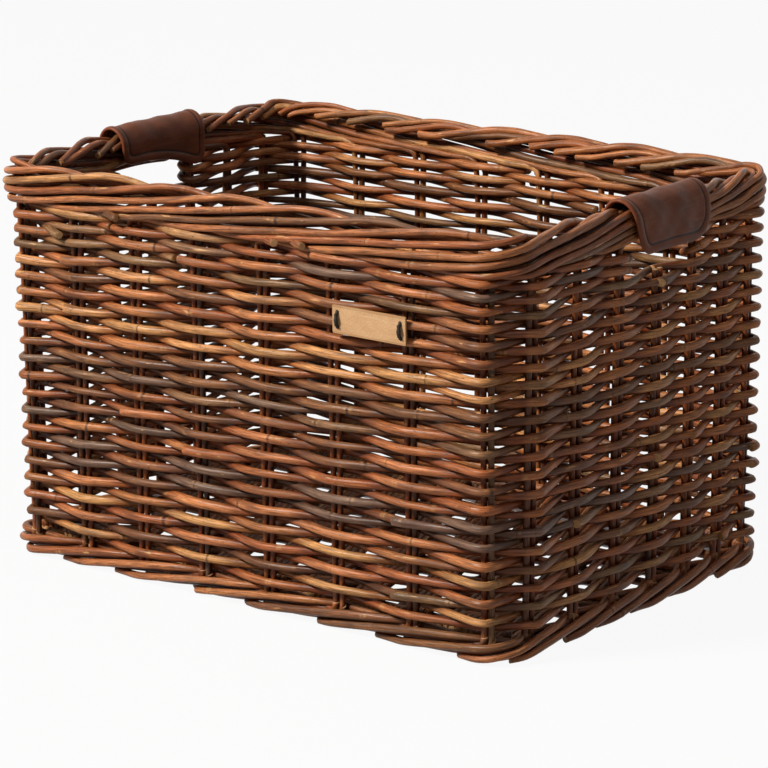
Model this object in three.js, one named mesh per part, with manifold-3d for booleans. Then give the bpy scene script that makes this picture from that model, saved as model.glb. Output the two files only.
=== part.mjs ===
// Rectangular bicycle basket of woven rods, with leather grips over two hand holes.
// Origin on the floor under the middle of the bounding box, X along the long walls, Y across, Z up.
// Millimetres.
import * as THREE from "three";
import { mergeVertices } from "three/addons/utils/BufferGeometryUtils.js";
import Module from "manifold-3d";

// Overall form, measured outside the top border
const rimLength = 460;
const rimWidth = 320;
const crownHeight = 287;
const wallLean = 4;
const cornerRadius = 24;

// Rods: peeled sticks, drawn with four sides and the area of the round rod
const stakeDiameter = 4.5;
const weaverDiameter = 5.3;
const rodClearance = 0.3;
const pairGap = 0.4;
const rowGap = 1.4;
const lengthsPerWeaver = 6;

// Upright stakes stand in pairs along each wall. Each wall starts at the corner where the last one ends, and
// its first and last pair stand this far from the outer corners
const frontToFirstPair = 28.5;
const frontToLastPair = 20.5;
const rightToFirstPair = 40.5;
const rightToLastPair = 26.5;
const backToFirstPair = 35;
const backToLastPair = 28;
const leftToFirstPair = 30;
const leftToLastPair = 38;
const walls = [
  { name: "front", pairs: 8, fromStart: frontToFirstPair, fromEnd: frontToLastPair, lastGapOverFirst: 1.25 },
  { name: "right", pairs: 7, fromStart: rightToFirstPair, fromEnd: rightToLastPair, lastGapOverFirst: 0.7 },
  { name: "back", pairs: 8, fromStart: backToFirstPair, fromEnd: backToLastPair, lastGapOverFirst: 1.1 },
  { name: "left", pairs: 7, fromStart: leftToFirstPair, fromEnd: leftToLastPair, lastGapOverFirst: 1 },
];

// Top border: the stake tops bend over and roll round each other to the crown
const borderStrandWide = 5.6;
const borderStrandTall = 9.2;
const borderTurn = 3.35;

// Foot border: the stake butts roll the other way, under the walls
const footStrandWide = 5.6;
const footStrandTall = 6;
const footTurn = 3;
const footWear = 0.6;

// Hand holes in the middle of the short walls
const handHoleClear = 23;

// Base: long sticks, and rods worked four together across them
const baseStickWide = 6;
const baseStickSpacing = 18;
const baseEdgeGap = 0.5;
const baseRodsTogether = 4;
const baseColumnGap = 1;
const baseTurnGap = 1.2;

// Leather grips over the border
const gripLength = 94;
const gripThickness = 2.2;
const gripFlapBelowBorder = 5;
const gripArchSteps = 8;

// Bare leather label, tied to the front wall
const labelLength = 61.5;
const labelTall = 21.5;
const labelThickness = 1.6;
const labelBelowCrown = 69;
const labelAfterPair = 6;
const labelPastMiddle = 7;
const labelCornerCut = 1.2;
const labelHoleSize = 3.6;
const labelHoleSpacing = 10;
const labelHoleFromEnd = 4.5;
const tieDiameter = 2;

// Colours from the photograph, one for each kind of piece
const stakeColour = 0x7a4a2e;
const weaverColour = 0x9a6038;
const greyWeaverColour = 0x7d6a58;
const baseColour = 0x8a5a38;
const gripColour = 0x4a2a20;
const labelColour = 0xcbaa7c;
const tieColour = 0x2b2622;

// Sizes that follow
const squareOfRound = Math.sqrt(Math.PI) / 2;
const stakeSide = stakeDiameter * squareOfRound;
const weaverSide = weaverDiameter * squareOfRound;
const rowPitch = weaverSide + rowGap;
const pairHalf = stakeSide + pairGap / 2;
const borderStepWide = borderStrandWide + rodClearance;
const borderStepTall = borderStrandTall + rodClearance;
const borderHalfWide = borderStepWide + borderStrandWide / 2;
const borderHalfTall = borderStepTall + borderStrandTall / 2;
const borderMiddle = crownHeight - borderHalfTall;
const borderBottom = crownHeight - 2 * borderHalfTall;
const footStepWide = footStrandWide + rodClearance;
const footStepTall = footStrandTall + rodClearance;
const footMiddle = footStepTall + footStrandTall / 2 - footWear;
const footTop = footMiddle + footStepTall + footStrandTall / 2;
const stakeLineX = rimLength / 2 - borderHalfWide;
const stakeLineY = rimWidth / 2 - borderHalfWide;
const firstRow = footTop + rodClearance + weaverSide / 2;
const lastRow = borderBottom - rodClearance - weaverSide / 2;
const sillRow = borderBottom - handHoleClear - weaverSide / 2;

const wasm = await Module();
wasm.setup();

// The line of the stakes in plan: a rectangle with round corners, walked anticlockwise from the front left
const corners = [
  new THREE.Vector2(-stakeLineX, -stakeLineY),
  new THREE.Vector2(stakeLineX, -stakeLineY),
  new THREE.Vector2(stakeLineX, stakeLineY),
  new THREE.Vector2(-stakeLineX, stakeLineY),
];

// A point on one wall's stake line at a distance from the wall's starting corner, at crown height
function pointOnWall(wall, distance) {
  const start = corners[wall];
  const along = corners[(wall + 1) % 4].clone().sub(start);
  const length = along.length();
  along.normalize();
  const outward = new THREE.Vector2(along.y, -along.x);
  const nearest = Math.max(Math.min(distance, length - distance), 0);
  const onStraight = THREE.MathUtils.clamp(distance, cornerRadius, length - cornerRadius);
  const point = start.clone().addScaledVector(along, onStraight);
  if (nearest < cornerRadius) {
    const turn = (Math.PI / 4) * (1 - nearest / cornerRadius) * Math.sign(distance - length / 2);
    point.addScaledVector(outward, -cornerRadius);
    point.addScaledVector(outward.rotateAround(new THREE.Vector2(), turn), cornerRadius);
  }
  return point;
}

// Stations: one for each pair of stakes, with the gaps along a wall growing or shrinking evenly
const stations = [];
walls.forEach((wall, side) => {
  const length = corners[(side + 1) % 4].distanceTo(corners[side]);
  const span = length + 2 * borderHalfWide - wall.fromStart - wall.fromEnd;
  const firstGap = (2 * span) / (wall.pairs - 1) / (1 + wall.lastGapOverFirst);
  const growth = (firstGap * (wall.lastGapOverFirst - 1)) / (wall.pairs - 2);
  for (let k = 0; k < wall.pairs; k += 1) {
    const distance = wall.fromStart - borderHalfWide + k * firstGap + (growth * k * (k - 1)) / 2;
    const middle = k === (wall.pairs - 1) / 2;
    stations.push({ point: pointOnWall(side, distance), wall: wall.name, number: k + 1, middle });
  }
});

// Each pair faces halfway between the directions of the wall before and after it
const count = stations.length;
stations.forEach((station, k) => {
  const before = station.point.clone().sub(stations[(k + count - 1) % count].point).normalize();
  const after = stations[(k + 1) % count].point.clone().sub(station.point).normalize();
  const along = before.add(after).normalize();
  station.normal = new THREE.Vector2(along.y, -along.x);
});
const shortestGap = Math.min(...stations.map((station, k) => gapBeside(k, 1)));

function stationAt(index) {
  return stations[((index % count) + count) % count];
}

// The point of a station's wall at an offset outwards from the stake line and a height
function wallPoint(station, offset, height) {
  const lean = wallLean * (height / crownHeight - 1);
  const flat = station.point.clone().addScaledVector(station.normal, offset + lean);
  return new THREE.Vector3(flat.x, flat.y, height);
}

function outwardOf(station) {
  return new THREE.Vector3(station.normal.x, station.normal.y, 0);
}

const upright = new THREE.Vector3(0, 0, 1);

// A closed bar through stops, each with its point and the two half-width vectors of its section
function bar(stops) {
  const ring = [
    [1, 1],
    [-1, 1],
    [-1, -1],
    [1, -1],
  ];
  const positions = [];
  const corner = (stop, k) =>
    stop.point.clone().addScaledVector(stop.wide, ring[k][0]).addScaledVector(stop.tall, ring[k][1]);
  const triangle = (a, b, c) => positions.push(...a.toArray(), ...b.toArray(), ...c.toArray());
  for (let i = 0; i < stops.length - 1; i += 1) {
    for (let k = 0; k < 4; k += 1) {
      const next = (k + 1) % 4;
      triangle(corner(stops[i], k), corner(stops[i], next), corner(stops[i + 1], next));
      triangle(corner(stops[i], k), corner(stops[i + 1], next), corner(stops[i + 1], k));
    }
  }
  const last = stops[stops.length - 1];
  triangle(corner(stops[0], 0), corner(stops[0], 2), corner(stops[0], 1));
  triangle(corner(stops[0], 0), corner(stops[0], 3), corner(stops[0], 2));
  triangle(corner(last, 0), corner(last, 1), corner(last, 2));
  triangle(corner(last, 0), corner(last, 2), corner(last, 3));
  const attribute = new THREE.Float32BufferAttribute(positions, 3);
  return new THREE.BufferGeometry().setAttribute("position", attribute);
}

// A geometry as a solid, turned the right way out
function solidOf(geometry) {
  const bare = geometry.clone();
  bare.deleteAttribute("normal");
  bare.deleteAttribute("uv");
  const merged = mergeVertices(bare, 1e-4);
  const triVerts = new Uint32Array(merged.index.array);
  const vertProperties = new Float32Array(merged.attributes.position.array);
  const solid = new wasm.Manifold(new wasm.Mesh({ numProp: 3, vertProperties, triVerts }));
  if (solid.volume() > 0) return solid;
  for (let i = 0; i < triVerts.length; i += 3) {
    [triVerts[i + 1], triVerts[i + 2]] = [triVerts[i + 2], triVerts[i + 1]];
  }
  return new wasm.Manifold(new wasm.Mesh({ numProp: 3, vertProperties, triVerts }));
}

function geometryOf(solid) {
  const made = solid.getMesh();
  return new THREE.BufferGeometry()
    .setAttribute("position", new THREE.BufferAttribute(new Float32Array(made.vertProperties), 3))
    .setIndex(new THREE.BufferAttribute(new Uint32Array(made.triVerts), 1));
}

const basket = new THREE.Group();

function addNode(name, solid, colour, roughness, parent = basket) {
  const material = new THREE.MeshStandardMaterial({ color: colour, roughness, metalness: 0 });
  const mesh = new THREE.Mesh(geometryOf(solid), material);
  mesh.name = name;
  parent.add(mesh);
}

// Everything below the floor, to be worn off the foot
const belowFloor = solidOf(
  new THREE.BoxGeometry(2 * rimLength, 2 * rimWidth, crownHeight).translate(0, 0, -crownHeight / 2),
);

// A rolling strand's place in the border's section after a number of stations: it goes round a diamond
// from the bottom to the outside, the crown and the inside, and so four strands never meet
function diamond(turn, stepWide, stepTall) {
  const vertices = [
    [0, -1],
    [1, 0],
    [0, 1],
    [-1, 0],
  ];
  const from = Math.floor(turn);
  const part = turn - from;
  const a = vertices[((from % 4) + 4) % 4];
  const b = vertices[(((from + 1) % 4) + 4) % 4];
  const between = (axis) => a[axis] + (b[axis] - a[axis]) * part;
  return { offset: between(0) * stepWide, rise: between(1) * stepTall };
}

// A strand that rolls along the wall from one station, to the next ones (direction 1) or back (-1)
function rollingStrand(index, direction, turns, middle, stepWide, stepTall, strandWide, strandTall, up) {
  const startBack = (pairHalf + rodClearance) / gapBeside(index, direction);
  const stops = [];
  const marks = [-startBack];
  for (let turn = 0; turn < turns; turn += 1) {
    marks.push(turn);
    const from = index + direction * turn;
    const roundsCorner = turnBetween(stationAt(from), stationAt(from + direction)) > leastTurn;
    if (roundsCorner && turn + 0.5 < turns) marks.push(turn + 0.5);
  }
  marks.push(turns);
  marks.forEach((turn) => {
    const { offset, rise } = diamond(turn, stepWide, stepTall);
    const { point, side } = betweenStations(index + direction * turn, offset, middle + up * rise);
    stops.push({
      point,
      wide: side.multiplyScalar(strandWide / 2),
      tall: upright.clone().multiplyScalar(strandTall / 2),
    });
  });
  return solidOf(bar(stops));
}

// The distance from a station to its neighbour
function gapBeside(index, direction) {
  return stationAt(index).point.distanceTo(stationAt(index + direction).point);
}

// The angle that the wall turns through between two stations, and the least that rounds the border
function turnBetween(a, b) {
  return Math.acos(Math.min(a.normal.dot(b.normal), 1));
}
const leastTurn = 0.3;

// A point of the wall between two stations: on the round of a corner, or on the straight between
function betweenStations(position, offset, height) {
  const from = Math.floor(position + 1e-9);
  const part = position - from;
  const a = stationAt(from);
  const b = stationAt(from + 1);
  const side = a.normal.clone().lerp(b.normal, part).normalize();
  const start = wallPoint(a, offset, height);
  const end = wallPoint(b, offset, height);
  const turn = turnBetween(a, b);
  const sagitta = turn > leastTurn ? (start.distanceTo(end) / 2) * Math.tan(turn / 4) : 0;
  const bulge = sagitta * (1 - Math.abs(2 * part - 1));
  const outward = new THREE.Vector3(side.x, side.y, 0);
  const point = start.lerp(end, part).addScaledVector(outward, bulge);
  return { point, side: outward };
}

// How far out of the stake line the weaver runs at each station, so that its straight runs clear both
// stakes of the pair. The walls are narrowest, and their corners tightest, at the first row.
function weaverOffsets(outsideParity) {
  const reach = stations.map(() => pairHalf + weaverSide / 2);
  const signOf = (index) => (Math.abs(index % 2) === outsideParity ? 1 : -1);
  const reachAt = (index) => reach[((index % count) + count) % count];
  const clearanceAt = (index, neighbour) => {
    const sign = signOf(index);
    const station = stationAt(index);
    const face = wallPoint(station, sign * (reachAt(index) - weaverSide / 2), firstRow);
    const next = wallPoint(stationAt(neighbour), -sign * (reachAt(neighbour) + weaverSide / 2), firstRow);
    const run = next.sub(face);
    const tangent = new THREE.Vector3(-station.normal.y, station.normal.x, 0);
    const along = run.dot(tangent);
    const across = run.dot(outwardOf(station));
    const inwards = Math.min((sign * across * pairHalf) / Math.abs(along), 0);
    const faceAtStake = reachAt(index) - weaverSide / 2 + inwards;
    return (faceAtStake - stakeSide / 2) * Math.abs(along / Math.hypot(along, across));
  };
  for (let pass = 0; pass < 40; pass += 1) {
    for (let index = 0; index < count; index += 1) {
      const lack = rodClearance - Math.min(clearanceAt(index, index + 1), clearanceAt(index, index - 1));
      reach[index] += lack;
    }
  }
  return (index) => signOf(index) * reachAt(index);
}

// Weaver A passes outside the even stations and weaver B outside the odd ones
const offsetA = weaverOffsets(0);
const offsetB = weaverOffsets(1);

// A stop of a weaver at any place along the wall, straight between one station and the next
function weaverStop(position, offsetAt, heightAt) {
  const from = Math.floor(position + 1e-9);
  const part = position - from;
  const stopAt = (index) => ({
    point: wallPoint(stationAt(index), offsetAt(index), heightAt(index)),
    side: outwardOf(stationAt(index)),
  });
  const a = stopAt(from);
  const b = stopAt(from + 1);
  return {
    point: a.point.lerp(b.point, part),
    wide: a.side.lerp(b.side, part).multiplyScalar(weaverSide / 2),
    tall: upright.clone().multiplyScalar(weaverSide / 2),
  };
}

// The chase: two weavers climb the wall side by side, each going two rows up on every round
const rightMiddle = stations.findIndex((s) => s.wall === "right" && s.middle);
const leftMiddle = stations.findIndex((s) => s.wall === "left" && s.middle);
const rounds = Math.round((sillRow - firstRow) / (2 * rowPitch));
const endA = rightMiddle + count * rounds;
const endB = leftMiddle + count * rounds;
const climb = (sillRow - firstRow) / endA;
const lagB = endB - endA;
const heightA = (index) => firstRow + climb * index;
const heightB = (index) => firstRow + climb * (index - lagB);

// Splits a weaver into lengths whose ends rest inside a stake pair
function addWeaverLengths(letter, start, end, offsetAt, heightAt) {
  const halfStep = (end - start) / 2;
  for (let k = 0; k < lengthsPerWeaver; k += 1) {
    const from = start + 2 * Math.round((halfStep * k) / lengthsPerWeaver);
    const to = start + 2 * Math.round((halfStep * (k + 1)) / lengthsPerWeaver);
    const endGap = rodClearance / gapBeside(from, 1);
    const stops = [weaverStop(from + endGap, offsetAt, heightAt)];
    for (let index = from + 1; index < to; index += 1) stops.push(weaverStop(index, offsetAt, heightAt));
    stops.push(weaverStop(to - rodClearance / gapBeside(to, -1), offsetAt, heightAt));
    const colour = k % 2 ? greyWeaverColour : weaverColour;
    addNode(`wall_weaver_${letter}${k + 1}`, solidOf(bar(stops)), colour, 0.6);
  }
}

addWeaverLengths("a", endA % 2, endA, offsetA, heightA);
addWeaverLengths("b", lagB + ((endB - lagB) % 2), endB, offsetB, heightB);

// Beside a hand hole the weaver turns back round the last stake pair
function turnBack(station, fromSign, offset, lowHeight, highHeight, towards) {
  const tangent = new THREE.Vector3(-station.normal.y, station.normal.x, 0).multiplyScalar(towards);
  const outward = outwardOf(station);
  const reach = pairHalf + rodClearance + weaverSide / 2;
  return [0.25, 0.75].map((part) => {
    const angle = Math.PI * part;
    const height = lowHeight + (highHeight - lowHeight) * part;
    const across = fromSign * Math.cos(angle);
    const side = outward.clone().multiplyScalar(across).addScaledVector(tangent, Math.sin(angle));
    const point = wallPoint(station, offset * across, height).addScaledVector(tangent, reach);
    return {
      point,
      wide: side.multiplyScalar(weaverSide / 2),
      tall: new THREE.Vector3(0, 0, weaverSide / 2),
    };
  });
}

// Above the sills each long wall has one weaver that goes to and fro between the hand holes
function addUpperWeaver(name, start, end, offsetOne, offsetTwo, heightAt) {
  const passes = Math.round((lastRow - heightAt(start)) / rowPitch) + 1;
  const rowHeight = (pass, index) => {
    const low = heightAt(index);
    return low + ((lastRow - low) * pass) / (passes - 1);
  };
  const stops = [];
  for (let pass = 0; pass < passes; pass += 1) {
    const forward = pass % 2 === 0;
    const offsetAt = forward ? offsetOne : offsetTwo;
    const heightOf = (index) => rowHeight(pass, index);
    const low = start + (pass === 0 ? 0 : 1);
    const indices = [];
    for (let index = low; index <= end; index += 1) indices.push(index);
    if (!forward) indices.reverse();
    indices.forEach((index, k) => {
      const place = pass === 0 && k === 0 ? index + rodClearance / gapBeside(index, 1) : index;
      const stop = weaverStop(place, offsetAt, heightOf);
      if (!forward) stop.wide.negate();
      stops.push(stop);
    });
    if (pass < passes - 1) {
      const last = indices[indices.length - 1];
      const offset = offsetAt(last);
      const towards = forward ? 1 : -1;
      const above = rowHeight(pass + 1, last);
      const sign = Math.sign(offset);
      const turned = turnBack(stationAt(last), sign, Math.abs(offset), heightOf(last), above, towards);
      if (sign !== towards) turned.forEach((stop) => stop.wide.negate());
      stops.push(...turned);
    }
  }
  addNode(name, solidOf(bar(stops)), weaverColour, 0.6);
}

const toLeftHole = leftMiddle - rightMiddle - 1;
const toRightHole = count + rightMiddle - leftMiddle - 1;
addUpperWeaver("upper_weaver_back", endA, endA + toLeftHole, offsetA, offsetB, heightA);
addUpperWeaver("upper_weaver_front", endB, endB + toRightHole, offsetB, offsetA, heightB);

// One stake pair: two rods up the wall, whose tops roll into the top border and butts into the foot border
function stakePair(index) {
  const station = stationAt(index);
  const tangent = new THREE.Vector3(-station.normal.y, station.normal.x, 0);
  const lowEnd = footMiddle + footStepTall;
  const highEnd = station.middle ? sillRow + weaverSide / 2 : borderMiddle - borderStepTall;
  const legs = [-1, 1].map((side) => {
    const shift = (side * (stakeSide + pairGap)) / 2;
    const stops = [lowEnd, highEnd].map((height) => ({
      point: wallPoint(station, 0, height).addScaledVector(tangent, shift),
      wide: outwardOf(station).multiplyScalar(stakeSide / 2),
      tall: tangent.clone().multiplyScalar(stakeSide / 2),
    }));
    return solidOf(bar(stops));
  });
  const foot = rollingStrand(
    index, -1, footTurn, footMiddle, footStepWide, footStepTall, footStrandWide, footStrandTall, -1,
  );
  let pair = legs[0].add(legs[1]).add(foot).subtract(belowFloor);
  if (!station.middle) {
    const border = rollingStrand(
      index, 1, borderTurn, borderMiddle,
      borderStepWide, borderStepTall, borderStrandWide, borderStrandTall, 1,
    );
    pair = pair.add(border);
  }
  return pair;
}

stations.forEach((station, index) => {
  addNode(`stake_pair_${station.wall}_${station.number}`, stakePair(index), stakeColour, 0.65);
});

// Base sticks lie on the foot border, one at each inner stake pair of the short walls and one at each edge
const baseMiddle = footMiddle + footStrandTall / 2 + rodClearance + baseStickWide / 2;
const leanAtBase = wallLean * (baseMiddle / crownHeight - 1);
const strandStart = footStrandWide / 2 + (footStepWide * (pairHalf + rodClearance)) / shortestGap;
const stickReach = stakeLineX + leanAtBase - strandStart - rodClearance;
const innerReach = Math.max(...stations.map((s, k) => Math.max(-offsetA(k), -offsetB(k)))) + weaverSide / 2;
const cornerInset = (cornerRadius - innerReach) * (1 - Math.SQRT1_2);
const matInset = innerReach + baseEdgeGap + cornerInset - leanAtBase;
const matHalfX = stakeLineX - matInset;
const matHalfY = stakeLineY - matInset;
const stickHalf = baseStickWide / 2;
const mitre = (weaverSide / 2) * Math.SQRT1_2;
const turnY = stickHalf + baseTurnGap + mitre;
const turnZ = stickHalf + rodClearance + mitre;
const edgeStickY = matHalfY - turnY - mitre;
const rightStations = stations.filter((s) => s.wall === "right").slice(1, -1);
const leftStations = stations.filter((s) => s.wall === "left").slice(1, -1).reverse();
const innerSticks = rightStations
  .map((s, k) => ({ left: leftStations[k].point.y, right: s.point.y, reach: stickReach }))
  .filter((stick) => Math.max(Math.abs(stick.left), Math.abs(stick.right)) < edgeStickY - baseStickSpacing);
const sticks = [
  { left: -edgeStickY, right: -edgeStickY, reach: matHalfX },
  ...innerSticks,
  { left: edgeStickY, right: edgeStickY, reach: matHalfX },
];

sticks.forEach((stick, k) => {
  const ends = [
    [-stick.reach, stick.left],
    [stick.reach, stick.right],
  ];
  const stops = ends.map(([x, y]) => ({
    point: new THREE.Vector3(x, y, baseMiddle),
    wide: new THREE.Vector3(0, stickHalf, 0),
    tall: new THREE.Vector3(0, 0, stickHalf),
  }));
  addNode(`base_stick_${k + 1}`, solidOf(bar(stops)), baseColour, 0.7);
});

// The base weaver goes to and fro across the sticks, over and under by turns, and round the edge sticks
function baseWeaver() {
  const columnWide = baseRodsTogether * weaverDiameter;
  const columns = Math.floor((2 * matHalfX - columnWide) / (columnWide + baseColumnGap)) + 1;
  const pitch = (2 * matHalfX - columnWide) / (columns - 1);
  const spacing = Math.min(
    ...sticks.slice(1).flatMap((stick, k) => [stick.left - sticks[k].left, stick.right - sticks[k].right]),
  );
  const slant = Math.max(...sticks.map((stick) => Math.abs(stick.right - stick.left) / (2 * stick.reach)));
  const crossing = stickHalf + (slant * columnWide) / 2;
  const swing = (stickHalf + rodClearance + weaverSide / 2) / (1 - (2 * crossing) / spacing);
  const stops = [];
  const addStop = (x, y, z, face) => {
    stops.push({
      point: new THREE.Vector3(x, y, baseMiddle + z),
      wide: new THREE.Vector3(columnWide / 2, 0, 0),
      tall: face.multiplyScalar(weaverSide / 2),
    });
  };
  for (let column = 0; column < columns; column += 1) {
    const sense = column % 2 === 0 ? 1 : -1;
    const x = -matHalfX + columnWide / 2 + column * pitch;
    const order = sticks.map((stick, k) => ({ ...stick, level: k % 2 === 0 ? sense : -sense }));
    if (sense < 0) order.reverse();
    order.forEach((stick) => {
      const y = THREE.MathUtils.mapLinear(x, -stick.reach, stick.reach, stick.left, stick.right);
      addStop(x, y, stick.level * swing, new THREE.Vector3(0, 0, sense));
    });
    if (column < columns - 1) {
      const y = sense * (edgeStickY + turnY);
      const { level } = order[order.length - 1];
      const face = level * Math.SQRT1_2;
      addStop(x + pitch / 4, y, level * turnZ, new THREE.Vector3(0, face, sense * Math.SQRT1_2));
      addStop(x + (3 * pitch) / 4, y, -level * turnZ, new THREE.Vector3(0, face, -sense * Math.SQRT1_2));
    }
  }
  return solidOf(bar(stops));
}

addNode("base_weaver", baseWeaver(), baseColour, 0.7);

// A leather grip: one thick piece laid over the border above a hand hole, with a flap down each side
function grip(side, middleStation) {
  const holeMiddle = (stationAt(middleStation - 1).point.y + stationAt(middleStation + 1).point.y) / 2;
  const innerHalf = borderHalfWide + 2 * rodClearance;
  const archBottom = borderMiddle + borderStrandTall / 2;
  const innerRise = crownHeight - archBottom + 4 * rodClearance;
  const flapEnd = borderBottom - gripFlapBelowBorder;
  const outline = [];
  const addArch = (half, rise, from, to) => {
    outline.push([Math.cos(from) * half, flapEnd]);
    for (let k = 0; k <= gripArchSteps; k += 1) {
      const angle = from + ((to - from) * k) / gripArchSteps;
      outline.push([half * Math.cos(angle), archBottom + rise * Math.sin(angle)]);
    }
    outline.push([Math.cos(to) * half, flapEnd]);
  };
  addArch(innerHalf + gripThickness, innerRise + gripThickness, 0, Math.PI);
  addArch(innerHalf, innerRise, Math.PI, 0);
  const points = outline.map(([offset, height]) => {
    const out = stakeLineX + offset + wallLean * (height / crownHeight - 1);
    return new THREE.Vector2(side * out, height);
  });
  const settings = { depth: gripLength, bevelEnabled: false };
  const geometry = new THREE.ExtrudeGeometry(new THREE.Shape(points), settings);
  geometry.rotateX(Math.PI / 2);
  geometry.translate(0, holeMiddle + gripLength / 2, 0);
  return solidOf(geometry);
}

addNode("grip_right", grip(1, rightMiddle), gripColour, 0.45);
addNode("grip_left", grip(-1, leftMiddle), gripColour, 0.45);

// The label lies on the strokes of the front wall between two stake pairs, leaning with the wall
const labelPairs = [labelAfterPair - 1, labelAfterPair];
const strokeReach = Math.max(...labelPairs.map((k) => Math.max(offsetA(k), offsetB(k)))) + weaverSide / 2;
const labelPlace = new THREE.Group();
labelPlace.position.copy(
  wallPoint(stationAt(labelPairs[0]), strokeReach + rodClearance, crownHeight - labelBelowCrown),
);
const labelBetween = (stationAt(labelPairs[0]).point.x + stationAt(labelPairs[1]).point.x) / 2;
labelPlace.position.x = labelBetween + labelPastMiddle;
labelPlace.rotation.x = Math.PI / 2 + Math.atan(wallLean / crownHeight);
basket.add(labelPlace);

function label() {
  const halfX = labelLength / 2;
  const halfY = labelTall / 2;
  const cut = labelCornerCut;
  const outline = [
    [halfX - cut, -halfY],
    [halfX, -halfY + cut],
    [halfX, halfY - cut],
    [halfX - cut, halfY],
    [-halfX + cut, halfY],
    [-halfX, halfY - cut],
    [-halfX, -halfY + cut],
    [-halfX + cut, -halfY],
  ];
  const shape = new THREE.Shape(outline.map(([x, y]) => new THREE.Vector2(x, y)));
  [-1, 1].forEach((endSide) => {
    [-1, 1].forEach((rowSide) => {
      const hole = new THREE.Path();
      const x = endSide * (halfX - labelHoleFromEnd);
      hole.absarc(x, (rowSide * labelHoleSpacing) / 2, labelHoleSize / 2, 0, 2 * Math.PI, true);
      shape.holes.push(hole);
    });
  });
  const settings = { depth: labelThickness, bevelEnabled: false, curveSegments: 3 };
  return solidOf(new THREE.ExtrudeGeometry(shape, settings));
}

// A tie is a stitch of cord, from one hole of the label over its face to the other
function tie(endSide) {
  const half = (tieDiameter * squareOfRound) / 2;
  const x = endSide * (labelLength / 2 - labelHoleFromEnd);
  const y = labelHoleSpacing / 2;
  const face = labelThickness + rodClearance + half;
  const route = [
    [y, 0, 0, -1, 0],
    [y, face, 0, -1, -1],
    [-y, face, 0, 1, -1],
    [-y, 0, 0, 1, 0],
  ];
  const stops = route.map(([along, up, wideX, tallY, tallZ]) => ({
    point: new THREE.Vector3(x, along, up),
    wide: new THREE.Vector3(half, 0, 0),
    tall: new THREE.Vector3(wideX, tallY * half, tallZ * half),
  }));
  return solidOf(bar(stops));
}

addNode("label", label(), labelColour, 0.8, labelPlace);
addNode("label_tie_left", tie(-1), tieColour, 0.9, labelPlace);
addNode("label_tie_right", tie(1), tieColour, 0.9, labelPlace);

// The origin lies under the middle of the whole box, with the label on the front wall counted in
const box = new THREE.Box3().setFromObject(basket);
basket.position.copy(box.getCenter(new THREE.Vector3()).negate().setZ(-box.min.z));

export default basket;
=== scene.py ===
"""A rectangular bicycle basket of woven rods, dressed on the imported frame."""

import logging
import math
from collections.abc import Mapping, Sequence
from dataclasses import dataclass, field
from enum import Enum

import bpy
import numpy as np
from mathutils import Matrix, Vector


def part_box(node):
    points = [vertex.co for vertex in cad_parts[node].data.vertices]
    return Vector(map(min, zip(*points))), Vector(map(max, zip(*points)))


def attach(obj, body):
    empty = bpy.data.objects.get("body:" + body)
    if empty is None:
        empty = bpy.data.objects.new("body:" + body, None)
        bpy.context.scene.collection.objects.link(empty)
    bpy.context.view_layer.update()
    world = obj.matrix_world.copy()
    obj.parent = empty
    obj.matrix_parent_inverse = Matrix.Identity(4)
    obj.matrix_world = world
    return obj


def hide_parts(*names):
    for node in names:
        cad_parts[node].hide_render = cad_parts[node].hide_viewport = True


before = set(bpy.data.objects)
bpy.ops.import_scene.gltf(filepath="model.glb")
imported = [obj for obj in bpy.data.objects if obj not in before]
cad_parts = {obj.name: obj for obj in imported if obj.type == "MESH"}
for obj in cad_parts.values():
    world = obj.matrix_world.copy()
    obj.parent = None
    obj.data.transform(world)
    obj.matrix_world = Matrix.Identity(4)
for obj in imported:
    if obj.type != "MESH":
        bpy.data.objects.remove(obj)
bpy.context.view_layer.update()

LOG = logging.getLogger("basket")
MM = 0.001
PHOTO_PIXELS = 768
SEED = 20
SEAM_INSET = 6.6
# This far off the hide, a seam doesn't show.
NO_SEAM = -50.0

Array = np.ndarray


def linear(hex_code: str) -> tuple[float, float, float]:
    """Turns an sRGB hex colour into linear light.

    Args:
        hex_code: A colour such as "#9a6038".

    Returns:
        Red, green and blue in linear light.
    """
    values = [int(hex_code[k : k + 2], 16) / 255 for k in (1, 3, 5)]
    red, green, blue = (v / 12.92 if v <= 0.04045 else ((v + 0.055) / 1.055) ** 2.4 for v in values)
    return red, green, blue


def add_node(
    tree: bpy.types.NodeTree,
    kind: str,
    settings: Mapping[str, object] | None = None,
    inputs: Mapping[str | int, object] | None = None,
) -> bpy.types.Node:
    """Adds a node with its settings, values and links.

    Args:
        tree: The node tree of a material or world.
        kind: The node's type.
        settings: Values of the node's own properties.
        inputs: A value or an output socket for each input, by name or number.

    Returns:
        The new node.
    """
    node = tree.nodes.new(kind)
    for name, value in (settings or {}).items():
        setattr(node, name, value)
    for name, value in (inputs or {}).items():
        if isinstance(value, bpy.types.NodeSocket):
            tree.links.new(value, node.inputs[name])
        else:
            node.inputs[name].default_value = value
    return node


@dataclass(frozen=True)
class Wall:
    """One wall's stake pairs, in millimetres from the corners of the outer box."""

    name: str
    pairs: int
    from_start: float
    from_end: float
    last_over_first: float


WALLS = (
    Wall("front", 8, 28.5, 20.5, 1.25),
    Wall("right", 7, 40.5, 26.5, 0.7),
    Wall("back", 8, 35.0, 28.0, 1.1),
    Wall("left", 7, 30.0, 38.0, 1.0),
)


@dataclass(frozen=True)
class Station:
    """A stake pair's place: its distance along the stake line, its wall and its number there."""

    distance: float
    wall: str
    number: int

    @property
    def node(self) -> str:
        """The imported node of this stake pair."""
        return f"stake_pair_{self.wall}_{self.number}"

    @property
    def under_grip(self) -> bool:
        """Whether the pair is the middle one of a short wall, which ends at the sill of a hand hole."""
        return self.number == 4 and self.wall in ("right", "left")


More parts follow.
